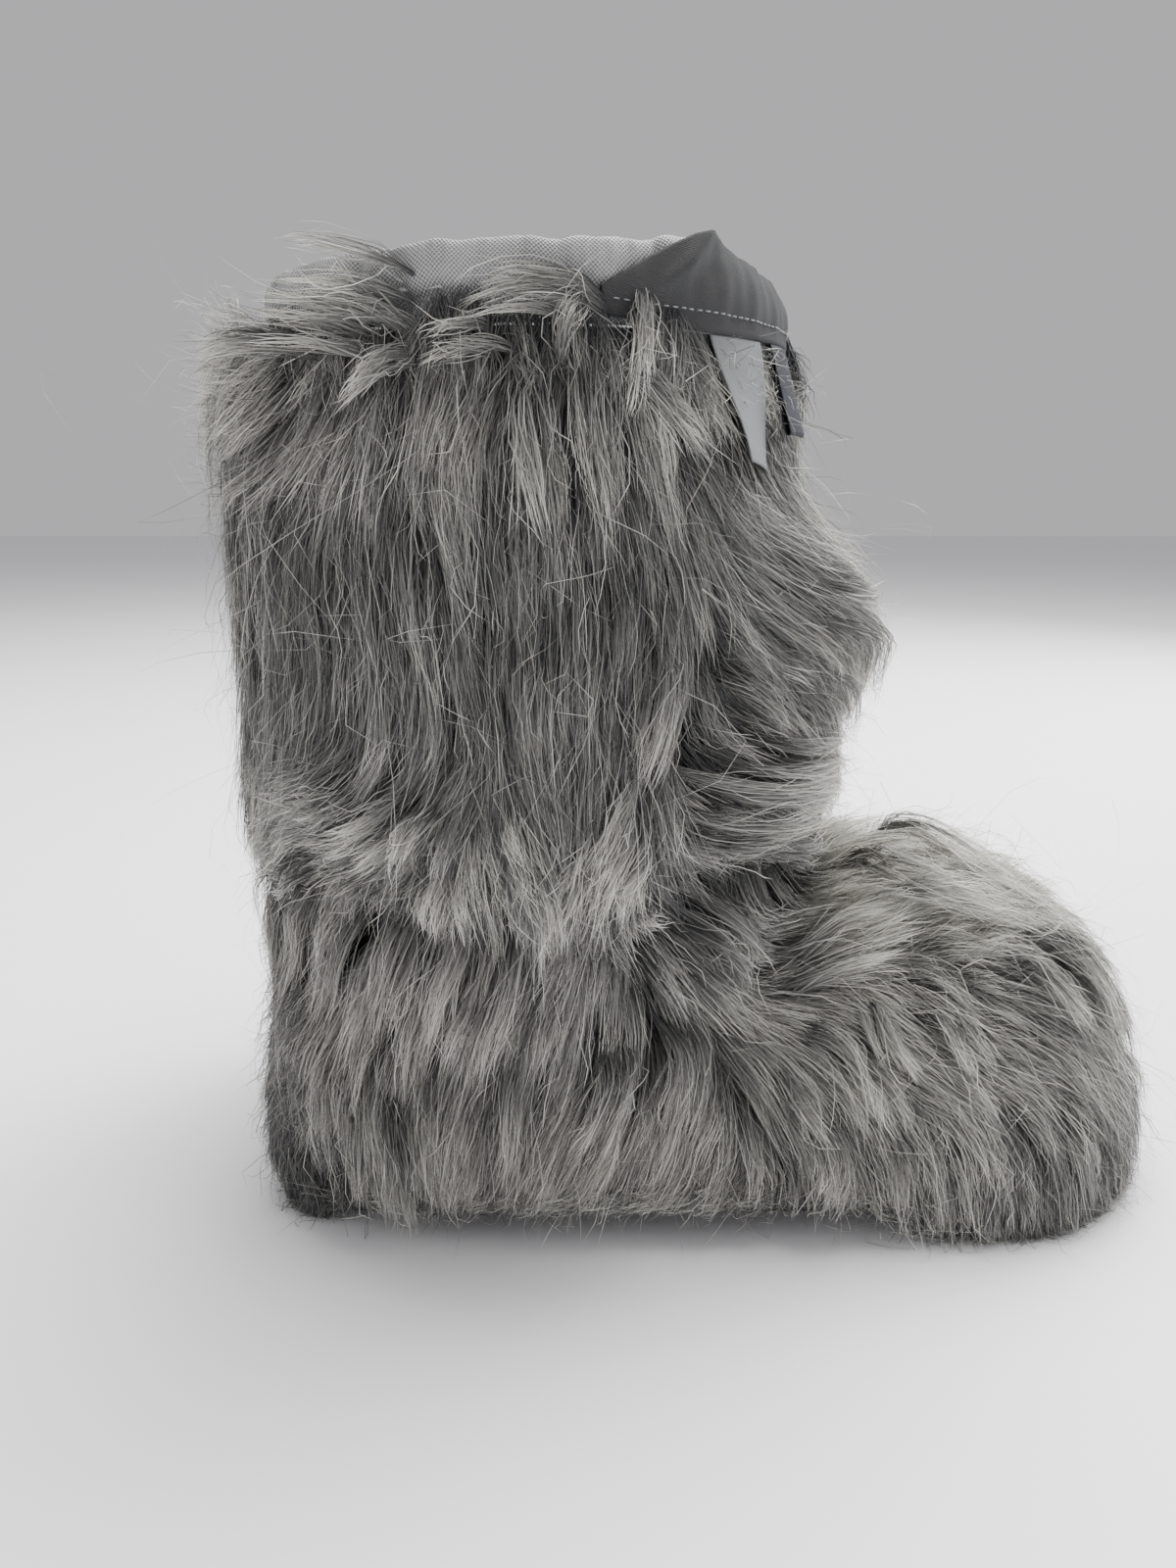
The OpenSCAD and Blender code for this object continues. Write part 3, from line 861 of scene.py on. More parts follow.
def make_fur():
    rng = np.random.default_rng(SEED + 1)
    piles = {}
    for node, sign, turn_from, turn_to in (
        ("fur_shaft_left", -1.0, -180.0, 0.0),
        ("fur_shaft_right", 1.0, 0.0, 180.0),
    ):
        roots = shaft_roots(int(1500 * DENSITY), rng, 160.0, FUR_TOP_Z - 12.0, turn_from, turn_to)
        piles[node] = grow(node, node, roots, shaft_comb, shaft_fullness, rng, 72.0,
                           lock_shade(roots, rng, 0.04))
        roots = shaft_roots(int(520 * DENSITY), rng, ANKLE_Z + 6.0, 162.0, turn_from, turn_to)
        x = roots[:, 0]
        length = np.interp(roots[:, 2], [124.0, 160.0], [20.0, 44.0])
        length = length + 16.0 * np.exp(-((x - 12.0) / 20.0) ** 2)
        length = length * (1.0 - 0.72 * np.exp(-((x - 54.0) / 17.0) ** 2))
        length = length * rng.uniform(0.7, 1.35, len(x))
        piles[node] += grow(node + "_hem", node, roots, shaft_comb, shaft_fullness, rng, length,
                            lock_shade(roots, rng, 0.64), lift=1.3, low=0.35, tightness=0.6)
        roots = shaft_roots(int(300 * DENSITY), rng, FUR_TOP_Z - 14.0, FUR_TOP_Z - 1.0,
                            turn_from, turn_to)
        length = 58.0 - 16.0 * smoothstep(-50.0, -85.0, roots[:, 0])
        length = length - 22.0 * smoothstep(40.0, 70.0, roots[:, 0])
        turn = np.degrees(np.arctan2(roots[:, 1], roots[:, 0]))
        length = length * (1.0 - 0.6 * smoothstep(28.0, 20.0, np.abs(turn_gap(turn, TABS_TURN))))
        piles[node] += grow(node + "_top", node, roots, top_comb, shaft_fullness, rng, length,
                            lock_shade(roots, rng, 0.40), lift=0.8, low=0.3, rise=0.9)
        piles[node] += grow_collar(node, turn_from, turn_to, rng)
    for node, sign in (("fur_quarter_left", -1.0), ("fur_quarter_right", 1.0)):
        roots = foot_roots(int(2000 * DENSITY), rng, HEEL_SEAM_X, VAMP_SEAM_X)
        roots = roots[roots[:, 1] * sign > 4.0]
        turn_from = -180.0 if sign < 0 else 0.0
        ankle = shaft_roots(int(330 * DENSITY), rng, 92.0, ANKLE_Z + 6.0, turn_from, turn_from + 180.0)
        roots = np.concatenate([roots, ankle])
        piles[node] = grow(node, node, roots, quarter_comb, foot_fullness, rng, 58.0,
                           lock_shade(roots, rng, 0.52, 0.13))
    roots = np.concatenate([
        foot_roots(int(700 * DENSITY), rng, HEEL_X + 4.0, HEEL_SEAM_X),
        heel_back_roots(int(420 * DENSITY), rng),
    ])
    piles["fur_heel"] = grow("fur_heel", "fur_heel", roots, heel_comb, foot_fullness, rng, 36.0,
                             lock_shade(roots, rng, 0.06))
    roots = foot_roots(int(900 * DENSITY), rng, VAMP_SEAM_X, TOE_SEAM_X)
    piles["fur_vamp"] = grow("fur_vamp", "fur_vamp", roots, toe_comb, foot_fullness, rng, 46.0,
                             lock_shade(roots, rng, 0.44, 0.15))
    roots = toe_roots(int(1150 * DENSITY), rng)
    piles["fur_toe"] = grow("fur_toe", "fur_toe", roots, toe_comb, foot_fullness, rng, 44.0,
                            lock_shade(roots, rng, 0.38, 0.15))
    for node, sign in (("fur_shaft_left", -1.0), ("fur_shaft_right", 1.0)):
        piles[node] += grow_wisps(node, sign, rng)
    for node in ("fur_shaft_left", "fur_shaft_right"):
        turn_from = -180.0 if node == "fur_shaft_left" else 0.0
        roots = shaft_roots(int(150 * DENSITY), rng, 150.0, FUR_TOP_Z - 8.0,
                            turn_from, turn_from + 180.0)
        piles[node] += grow_flyaways(node, roots, shaft_comb, shaft_fullness, rng)
    roots = foot_roots(int(130 * DENSITY), rng, VAMP_SEAM_X, TOE_SEAM_X)
    piles["fur_vamp"] += grow_flyaways("fur_vamp", roots, toe_comb, foot_fullness, rng)
    roots = toe_roots(int(100 * DENSITY), rng)
    piles["fur_toe"] += grow_flyaways("fur_toe", roots, toe_comb, foot_fullness, rng)
    piles["fur_shaft_left"] += comb_locks(
        "shaft_combed", ["fur_shaft_left"], SHAFT_STROKES, shaft_fullness, rng)
    piles["fur_quarter_left"] += comb_locks(
        "foot_combed", ["fur_quarter_left", "fur_vamp", "fur_toe"], FOOT_STROKES,
        lambda p: 1.04 * foot_fullness(p), rng)
    return piles


# ---------------------------------------------------------------- the knitted backing
def grid_faces(rows, columns, around=False):
    """Four-sided faces over a grid of points, closed round its columns if asked."""
    wide = columns if around else columns - 1
    return [
        (r * columns + c, r * columns + (c + 1) % columns,
         (r + 1) * columns + (c + 1) % columns, (r + 1) * columns + c)
        for r in range(rows - 1) for c in range(wide)
    ]


def cloth_object(name, points, uv=None, around=False):
    """A smooth sheet over a grid of points, with a UV map in millimetres if given."""
    rows, columns, _ = points.shape
    made = add_object(name, mesh_from(name, points.reshape(-1, 3), grid_faces(rows, columns, around)))
    made.data.polygons.foreach_set("use_smooth", [True] * len(made.data.polygons))
    if uv is not None:
        layer = made.data.uv_layers.new(name="weave")
        flat = uv.reshape(-1, 2)
        wrap = flat[:, 0].max() + (flat[1, 0] - flat[0, 0] if around else 0.0)
        for face in made.data.polygons:
            numbers = [made.data.loops[k].vertex_index for k in face.loop_indices]
            columns_used = [n % columns for n in numbers]
            seam = around and 0 in columns_used and columns - 1 in columns_used
            for k, n, column in zip(face.loop_indices, numbers, columns_used):
                u = flat[n, 0] + (wrap if seam and column == 0 else 0.0)
                layer.data[k].uv = (u, flat[n, 1])
    return made


def drop_faces(made, keep):
    """Keeps only the faces whose every corner passes the test on points in millimetres."""
    points = np.array([v.co for v in made.data.vertices]) / MM
    good = keep(points)
    faces = [tuple(f.vertices) for f in made.data.polygons if good[list(f.vertices)].all()]
    used = sorted({n for face in faces for n in face})
    number = {n: k for k, n in enumerate(used)}
    mesh = mesh_from(made.name + "_cut", points[used], [[number[n] for n in f] for f in faces])
    mesh.polygons.foreach_set("use_smooth", [True] * len(mesh.polygons))
    made.data = mesh
    return made


def shell(name, stations, turns, distance, far=150.0):
    """A sheet where a closed form's surface is first met by rays from its lengthwise axis."""
    x = np.repeat(stations, len(turns))
    turn = np.tile(turns, len(stations))
    ray = np.stack([0.0 * turn, -np.cos(turn), np.sin(turn)], axis=1)
    start = np.stack([x, 0.0 * x, 0.0 * x + FOOT_AXIS_Z + 8.0], axis=1)
    near, out = np.zeros(len(x)), np.full(len(x), far)
    for _ in range(18):
        middle = 0.5 * (near + out)
        inside = distance(start + ray * middle[:, None]) < 0.0
        near, out = np.where(inside, middle, near), np.where(inside, out, middle)
    points = start + ray * near[:, None]
    return cloth_object(name, points.reshape(len(stations), len(turns), 3))


def dress(made, material, *nodes, body="cover", slot=None):
    """Gives a piece its material, its body and the CAD nodes that it stands for."""
    made.data.materials.clear()
    made.data.materials.append(material)
    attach(made, body)
    if nodes:
        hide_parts(*nodes)
    return made


def make_backing(piles):
    """The knitted ground of each fur panel, just inside the roots of its pile."""
    knit = backing_material()
    skin = 0.6
    for node, turn_from in (("fur_shaft_left", -180.0), ("fur_shaft_right", 0.0)):
        turn = np.radians(turn_from + np.linspace(0.3, 179.7, 60))
        z = np.linspace(ANKLE_Z + 0.5, FUR_TOP_Z, 32)
        r = SHAFT_ROOT_R - skin
        points = np.stack([
            np.broadcast_to(np.cos(turn) * r, (32, 60)), np.broadcast_to(np.sin(turn) * r, (32, 60)),
            np.broadcast_to(z[:, None], (32, 60)),
        ], axis=2)
        made = dress(cloth_object(node + "_backing", points), knit, node, slot="fur")

    def ground(p):
        return np.maximum(form_distance(p) + skin, p[:, 2] - ANKLE_Z)

    spans = {
        "fur_heel": (HEEL_X + ROOT_DEPTH + 1.0, HEEL_SEAM_X, -14.0, 194.0, "foot_foam_left"),
        "fur_quarter_left": (HEEL_SEAM_X, VAMP_SEAM_X, -14.0, 90.0, "foot_foam_left"),
        "fur_quarter_right": (HEEL_SEAM_X, VAMP_SEAM_X, 90.0, 194.0, "foot_foam_right"),
        "fur_vamp": (VAMP_SEAM_X, TOE_SEAM_X, -14.0, 194.0, "foot_foam_left"),
        "fur_toe": (TOE_SEAM_X, TOE_X - ROOT_DEPTH - 1.0, -14.0, 194.0, "toe_foam"),
    }
    for node, (x0, x1, turn_from, turn_to, foam) in spans.items():
        stations = 0.5 * (x0 + x1) - 0.5 * (x1 - x0) * np.cos(np.linspace(0.0, math.pi, 40))
        turns = np.radians(np.linspace(turn_from, turn_to, 90))
        made = shell(node + "_backing", stations, turns, ground)
        drop_faces(made, lambda p: p[:, 2] < ANKLE_Z - 0.3)
        dress(made, knit, node, slot="fur")


FUR = fur_material()

# ---------------------------------------------------------------- the cuff
# Height of the cuff's top edge round the mouth: angle from the toe (left is negative), height
RIM = [(-180, 301.5), (-140, 301.7), (-120, 302.3), (-100, 303.4), (-80, 303.8), (-65, 304.6),
       (-55, 306.6), (-48, 307.0), (-42, 304.5), (-36, 300.5), (-25, 299.0), (0, 300.0),
       (40, 301.0), (90, 302.0), (140, 301.5), (180, 301.5)]
# The band's section from the inside up, over the fold and down: radius, height, and what the
# height counts from ("top" edge or "floor")
SECTION = [(79.7, 281.8, "floor"), (79.8, 288.0, "floor"), (80.0, -8.0, "top"),
           (80.3, -3.0, "top"), (81.1, -0.7, "top"), (82.4, 0.0, "top"), (83.7, -0.8, "top"),
           (84.8, -3.2, "top"), (85.3, -7.0, "top"), (84.9, -10.5, "top"), (83.4, -13.2, "top"),
           (82.2, -14.6, "top"), (83.6, 284.9, "floor"), (84.9, 283.6, "floor"),
           (85.2, 282.2, "floor"), (84.4, 281.5, "floor")]
CREASES = [(-152.0, 1.6, 1.5), (-136.0, 2.0, 1.6), (-121.0, 1.7, 1.5), (-112.5, 2.0, 1.6)]
CASING_STITCH_ROW = 11.0        # which point of the section the casing's stitches follow
HEM_STITCH_ROW = 13.4


def make_creases():
    rng = np.random.default_rng(SEED + 2)
    soft = [(turn + rng.uniform(-3.0, 3.0), rng.uniform(0.3, 0.7), rng.uniform(0.8, 1.6))
            for turn in np.arange(-104.0, -44.0, 7.0)]
    rest = [(turn + rng.uniform(-3.0, 3.0), rng.uniform(0.5, 1.7), rng.uniform(0.9, 1.9))
            for turn in np.arange(-40.0, 205.0, 8.5)]
    return CREASES + soft + rest


ALL_CREASES = make_creases()


def turn_gap(a, b):
    """Degrees from one angle to another, the short way."""
    return (a - b + 180.0) % 360.0 - 180.0


def cuff_point(turn, row):
    """A point on the cuff's cloth at an angle in degrees and a place along its section."""
    turn, row = np.broadcast_arrays(np.asarray(turn, float), np.asarray(row, float))
    rim = np.interp(turn, *zip(*RIM))
    rim = rim + 0.35 * np.sin(np.radians(turn) * 23.0) + 0.25 * np.sin(np.radians(turn) * 41.0 + 1.0)
    knots = np.arange(len(SECTION))
    section_r = [r for r, _, _ in SECTION]
    from_top = np.array([z if base == "top" else 0.0 for _, z, base in SECTION])
    from_floor = np.array([0.0 if base == "top" else z for _, z, base in SECTION])
    is_top = np.array([1.0 if base == "top" else 0.0 for _, _, base in SECTION])

    def soft(values):
        """Values along the section, rounded between its points."""
        return sum(np.interp(np.clip(row + shift, 0, knots[-1]), knots, values) * weight
                   for shift, weight in ((-0.5, 0.2), (-0.25, 0.2), (0.0, 0.2), (0.25, 0.2), (0.5, 0.2)))

    radius = soft(section_r)
    height = soft(from_top) + soft(from_floor) + soft(is_top) * rim
    outer = smoothstep(5.0, 7.5, row) * smoothstep(15.0, 12.5, row)
    inner = smoothstep(4.0, 1.0, row)
    for centre, depth, width in ALL_CREASES:
        slant = 0.5 * (row - 9.0) * math.sin(centre)
        near = np.exp(-(turn_gap(turn, centre + slant) / width) ** 2)
        radius = radius - depth * near * outer + 0.35 * depth * near * inner
        height = height - 0.45 * depth * near * smoothstep(3.0, 5.0, row) * smoothstep(9.0, 6.0, row)
    for count, size, phase in ((61, 0.16, 0.3), (97, 0.12, 1.7), (143, 0.08, 2.9)):
        wave = np.sin(np.radians(turn) * count + phase + 0.25 * row)
        radius = radius + size * wave * (outer + inner)
    hollow = np.exp(-(turn_gap(turn, -108.0) / 7.0) ** 2) * np.exp(-((row - 11.0) / 1.6) ** 2)
    radius = radius - 1.3 * hollow
    radius = radius - front_lean(turn, height)
    angle = np.radians(turn)
    return np.stack([radius * np.cos(angle), radius * np.sin(angle), height], axis=-1)


def front_lean(turn, height):
    """How far the cuff leans in at the toe side, more as it gets higher."""
    near = smoothstep(62.0, 25.0, np.abs(turn_gap(turn, 0.0)))
    return 6.0 * near * np.clip((height - 284.0) / 18.0, 0.0, 1.4)


def run_lengths(points, axis):
    """How far each point of a grid lies along its row or column, in millimetres."""
    step = np.linalg.norm(np.diff(points, axis=axis), axis=2)
    zero = np.zeros_like(np.take(step, [0], axis=axis))
    return np.concatenate([zero, np.cumsum(step, axis=axis)], axis=axis)


def thicken(made, thickness):
    """Gives a sheet its real thickness."""
    solid = made.modifiers.new("thickness", "SOLIDIFY")
    solid.thickness = thickness * MM
    solid.offset = 0.0


def stitch_rows(name, lines, stitch, space, radius, material, body="cover"):
    """Short raised stitches along lines of points, as one mesh."""
    points, faces = [], []
    sides = 6
    for line in lines:
        far = np.concatenate([[0.0], np.cumsum(np.linalg.norm(np.diff(line, axis=0), axis=1))])
        for start in np.arange(0.0, far[-1] - stitch, stitch + space):
            t = start + stitch * np.array([0.0, 0.15, 0.5, 0.85, 1.0])
            middle = np.stack([np.interp(t, far, line[:, k]) for k in range(3)], axis=1)
            ahead = unit(middle[-1] - middle[0])
            outward = unit(np.array([middle[2, 0], middle[2, 1], 0.0]))
            across = unit(np.cross(ahead, outward))
            outward = np.cross(across, ahead)
            swell = np.array([0.15, 0.8, 1.0, 0.8, 0.15]) * radius
            rise = np.array([-0.8, 0.1, 0.5, 0.1, -0.8]) * radius
            base = len(points)
            for centre, r, up in zip(middle, swell, rise):
                for k in range(sides):
                    a = 2.0 * math.pi * k / sides
                    points.append(centre + outward * (up + r * math.sin(a)) + across * r * math.cos(a))
            for ring in range(4):
                for k in range(sides):
                    n = base + ring * sides + k
                    m = base + ring * sides + (k + 1) % sides
                    faces.append((n, m, m + sides, n + sides))
    made = add_object(name, mesh_from(name, np.array(points), faces))
    made.data.polygons.foreach_set("use_smooth", [True] * len(made.data.polygons))
    made.data.materials.append(material)
    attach(made, body)
    return made


def make_cuff():
    turns = np.arange(720) * 0.5 - 180.0
    rows = np.linspace(0.0, len(SECTION) - 1.0, 76)
    points = cuff_point(turns[None, :], rows[:, None])
    around = np.broadcast_to(np.radians(turns)[None, :] * WEAVE_BAND_R, points.shape[:2])
    up = np.broadcast_to(run_lengths(points, 0).mean(axis=1)[:, None], points.shape[:2])
    band = cloth_object("cuff_band_cloth", points, np.stack([around, up], axis=2), around=True)
    dress(band, BAND_CLOTH, "cuff_band", slot="woven_nylon")
    thread = thread_material()
    casing = stitch_rows("casing_stitches", [cuff_point(turns, CASING_STITCH_ROW)],
                         2.2, 1.0, 0.26, thread)
    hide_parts("casing_stitch")
    hem = stitch_rows("hem_stitches", [cuff_point(turns, HEM_STITCH_ROW)], 2.2, 1.0, 0.26, thread)
    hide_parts("hem_stitch")
    make_lap(thread)
    make_elastic()


ELASTIC_W = 9.0


def make_elastic():
    """The elastic web in the casing, which follows the gathers."""
    turns = np.arange(360) * 1.0 - 180.0
    middle = 0.5 * (cuff_point(turns, 3.0) + cuff_point(turns, 8.0)) * (1.0, 1.0, 0.0)
    rim = np.interp(turns, *zip(*RIM))
    rows = []
    for drop in np.linspace(3.2, 3.2 + ELASTIC_W, 10):
        row = middle.copy()
        row[:, 2] = rim - drop
        rows.append(row)
    points = np.array(rows)
    web = cloth_object("cuff_elastic_web", points, around=True)
    thicken(web, 0.8)
    dress(web, cloth_material("elastic_web", (0.45, 0.45, 0.43), (0.72, 0.72, 0.69), 2200.0),
          "cuff_elastic", slot="elastic")


# The folded lap at the front of the cuff: angle, height of its top edge, height of its hem
LAP = [(-74, 291.0, 288.5), (-70, 294.5, 287.5), (-66, 298.0, 286.6), (-61, 302.0, 285.9),
       (-55, 306.0, 285.4), (-51, 307.6, 285.2), (-46, 306.4, 285.1), (-38, 303.5, 285.1),
       (-28, 301.5, 285.1), (-18, 300.5, 285.1), (-8, 299.0, 285.3), (2, 296.0, 286.0)]
TUCK = [(0.25, 0.5), (0.6, 1.0), (0.85, 2.2), (1.0, 3.9)]    # share of the way in, and drop
TUCK_R = 85.55          # how far in the turned-under hem lies, behind the tabs


def lap_point(turn, t):
    """A point on the lap at an angle and a share of the way down it."""
    turn, t = np.broadcast_arrays(np.asarray(turn, float), np.asarray(t, float))
    angles = [row[0] for row in LAP]
    high = np.interp(turn, angles, [row[1] for row in LAP])
    low = np.interp(turn, angles, [row[2] for row in LAP])
    z = high + (low - high) * t
    bulge = 2.2 * np.sin(math.pi * np.clip(0.12 + 0.9 * t, 0.0, 1.0)) ** 0.8
    ridge_turn = -52.0 - 17.0 * t
    ridge = 2.6 * np.exp(-(turn_gap(turn, ridge_turn) / 3.4) ** 2) * smoothstep(0.9, 0.3, t)
    hollow = -1.8 * np.exp(-(turn_gap(turn, ridge_turn + 9.0) / 4.5) ** 2) * smoothstep(1.0, 0.4, t)
    ends = smoothstep(-73.5, -67.0, turn) * smoothstep(2.0, -8.0, turn)
    ripple = 0.25 * np.sin(np.radians(turn) * 31.0 + 3.0 * t) + 0.12 * np.sin(np.radians(turn) * 67.0)
    radius = 85.9 + (bulge + ridge + hollow + ripple) * ends - front_lean(turn, z)
    angle = np.radians(turn)
    return np.stack([radius * np.cos(angle), radius * np.sin(angle), z], axis=-1)


def make_lap(thread):
    turns = np.linspace(LAP[0][0], LAP[-1][0], 150)
    down = np.linspace(0.0, 1.0, 40)
    face = lap_point(turns[None, :], down[:, None])
    rolled = []
    for inward, drop in ((2.6, -2.4), (2.0, -0.7), (1.0, 0.25)):
        edge = lap_point(turns, 0.0)
        outward = unit(edge * (1.0, 1.0, 0.0))
        rolled.append(edge - outward * inward + np.array([0.0, 0.0, drop]))
    hem = lap_point(turns, 1.0)
    inward = unit(hem * (1.0, 1.0, 0.0)) * (np.hypot(hem[:, 0], hem[:, 1]) - TUCK_R)[:, None]
    tucked = [hem - inward * share - np.array([0.0, 0.0, drop]) for share, drop in TUCK]
    points = np.concatenate([np.array(rolled), face, np.array(tucked)])
    around = np.broadcast_to(np.radians(turns)[None, :] * WEAVE_LAP_R, points.shape[:2])
    uv = np.stack([around, run_lengths(points, 0)], axis=2)
    lap = cloth_object("cuff_front_lap_cloth", points, uv)
    thicken(lap, 0.5)
    dress(lap, SHADED_LAP_CLOTH, "cuff_front_lap", slot="woven_nylon")
    seam = lap_point(turns[4:-4], 0.93)
    seam = seam + unit(seam * (1.0, 1.0, 0.0)) * 0.35
    stitches = stitch_rows("lap_stitches", [seam], 2.0, 1.0, 0.24, thread)
    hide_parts("tab_stitches")


# ---------------------------------------------------------------- the two tabs
TAB_LEAN = 16.0          # how far the tabs hang off the upright, in degrees
TAB_HINGE_R = CUFF_R + 1.2
TAB_Z = FUR_TOP_Z + 0.3


def ribbon(name, node, body, turn, width, profile, material, slot, curl, twist=0.0):
    """A strip of ribbon that hangs from the cuff's hem, from its section: out and down."""
    across = np.linspace(-0.5, 0.5, 25) * width
    out = np.array([p[0] for p in profile])[:, None] + curl * (2.0 * across[None, :] / width) ** 2
    down = np.array([p[1] for p in profile])[:, None] + 0.0 * across[None, :]
    turned = math.radians(twist) * smoothstep(0.0, down.max(), down)
    out = out - across[None, :] * np.sin(turned)
    across_grid = across[None, :] * np.cos(turned)
    lean, angle = math.radians(TAB_LEAN), math.radians(turn)
    radial = TAB_HINGE_R + out * math.cos(lean) + down * math.sin(lean)
    z = TAB_Z - down * math.cos(lean) + out * math.sin(lean)
    side = across_grid
    points = np.stack([
        radial * math.cos(angle) - side * math.sin(angle),
        radial * math.sin(angle) + side * math.cos(angle),
        z,
    ], axis=2)
    uv = np.stack([side + 0.0 * z, run_lengths(points, 0)], axis=2)
    made = cloth_object(name, points, uv)
    thicken(made, 0.35)
    dress(made, material, node, body=body, slot=slot)
    return made, run_lengths(points, 0)[-1].mean()


def make_tabs():
    down = np.linspace(0.0, 38.0, 40)
    sag = [(0.5 * math.sin(d / 38.0 * math.pi) - 0.2 * (d / 38.0), d) for d in down]
    satin = woven_material(
        "label_satin", (0.12, 0.125, 0.132), (0.20, 0.206, 0.215), 0.30, 0.6, 0.15)
    label, long = ribbon("pale_label_ribbon", "pale_label", "label", -42.0, 25.0, sag,
                         satin, "label_satin", -0.8, twist=24.0)
    loop = [(0.75, d) for d in np.linspace(0.5, 26.6, 22)]
    loop += [(0.75 * math.cos(a), 26.8 + 0.9 * math.sin(a)) for a in np.linspace(0.2, math.pi - 0.2, 7)]
    loop += [(-0.75, d) for d in np.linspace(26.6, 0.9, 22)]
    dark = woven_material(
        "dark_ribbon", (0.010, 0.011, 0.016), (0.032, 0.033, 0.044), 0.35, 0.7, 0.08)
    tab, long = ribbon("dark_tab_ribbon", "dark_tab", "tab", -23.0, 18.0, loop,
                       dark, "dark_ribbon", -0.5)


# ---------------------------------------------------------------- lining, sole and inner pieces
LINING_DEPTH = 33.4
LINING_FLOOR = box_mm("foot_lining")[0][2] + 0.8


def lining_distance(p):
    """How far points are outside the lining of foot and ankle."""
    depth = LINING_DEPTH
    rho = np.hypot(p[:, 1], p[:, 2] - FOOT_AXIS_Z)
    toe = np.hypot(
        np.maximum(p[:, 0] - (TOE_X - TOE_ROUND), 0.0),
        np.maximum(rho - (FOOT_R - TOE_ROUND), 0.0),
    ) - (TOE_ROUND - depth)
    heel = np.hypot(
        np.minimum(p[:, 0] - (HEEL_X + HEEL_ROUND), 0.0),
        np.maximum(rho - (FOOT_R - HEEL_ROUND), 0.0),
    ) - (HEEL_ROUND - depth)
    foot = np.where(p[:, 0] > 0.0, toe, heel)
    radius = np.interp(p[:, 2], [10.0, 100.0, ANKLE_Z + 20.0], [FOOT_R - depth - 6.0, BORE_R, BORE_R])
    ankle = np.hypot(p[:, 0], p[:, 1]) - radius
    inside = np.minimum(foot, ankle)
    return np.maximum(np.maximum(inside, p[:, 2] - ANKLE_Z), LINING_FLOOR - p[:, 2])


def make_lining():
    knit = cloth_material("lining_knit", (0.045, 0.047, 0.052), (0.10, 0.105, 0.11), 1400.0)
    turns = np.arange(240) * 1.5
    z = np.linspace(ANKLE_Z, box_mm("shaft_lining")[1][2], 56)
    grid = np.stack([
        np.broadcast_to(np.cos(np.radians(turns)) * BORE_R, (56, 240)),
        np.broadcast_to(np.sin(np.radians(turns)) * BORE_R, (56, 240)),
        np.broadcast_to(z[:, None], (56, 240)),
    ], axis=2)
    flat = grid.reshape(-1, 3)
    rng = np.random.default_rng(SEED + 3)
    folds = Waves(rng, 34.0)(flat * (1.0, 1.0, 0.45)) + 0.6 * Waves(rng, 15.0)(flat * (1.0, 1.0, 0.4))
    ends = smoothstep(ANKLE_Z, ANKLE_Z + 12.0, flat[:, 2]) * smoothstep(z[-1], z[-1] - 12.0, flat[:, 2])
    out = unit(flat * (1.0, 1.0, 0.0))
    flat = flat + out * (0.5 + 0.35 * folds * ends)[:, None]
    tube = cloth_object("shaft_lining_cloth", flat.reshape(grid.shape), around=True)
    dress(tube, knit, "shaft_lining", slot="lining")
    low, high = box_mm("foot_lining")
    stations = 0.5 * (low[0] + high[0]) - 0.5 * (high[0] - low[0] - 2.4) * np.cos(
        np.linspace(0.0, math.pi, 110))
    sock = shell("foot_lining_cloth", stations, np.radians(np.linspace(0.0, 360.0, 160)),
                 lining_distance, far=200.0)
    drop_faces(sock, lambda p: p[:, 2] < ANKLE_Z - 0.2)
    dress(sock, knit, "foot_lining", slot="lining")


def sole_outline(depth, count):
    """The outline of the foot's plan, shrunk by a depth, seen from above."""
    turns = np.linspace(0.0, 2.0 * math.pi, count, endpoint=False)
    x0, x1 = HEEL_X + depth, TOE_X - depth
    middle = 0.5 * (x0 + x1)
    ray = np.stack([np.cos(turns), np.sin(turns), 0.0 * turns], axis=1)
    start = np.array([middle, 0.0, 0.0])
    near, out = np.zeros(count), np.full(count, 200.0)
    for _ in range(20):
        r = 0.5 * (near + out)
        inside = foot_distance(start + ray * r[:, None]) + depth - ROOT_DEPTH < 0.0
        near, out = np.where(inside, r, near), np.where(inside, out, r)
    return start + ray * near[:, None], start


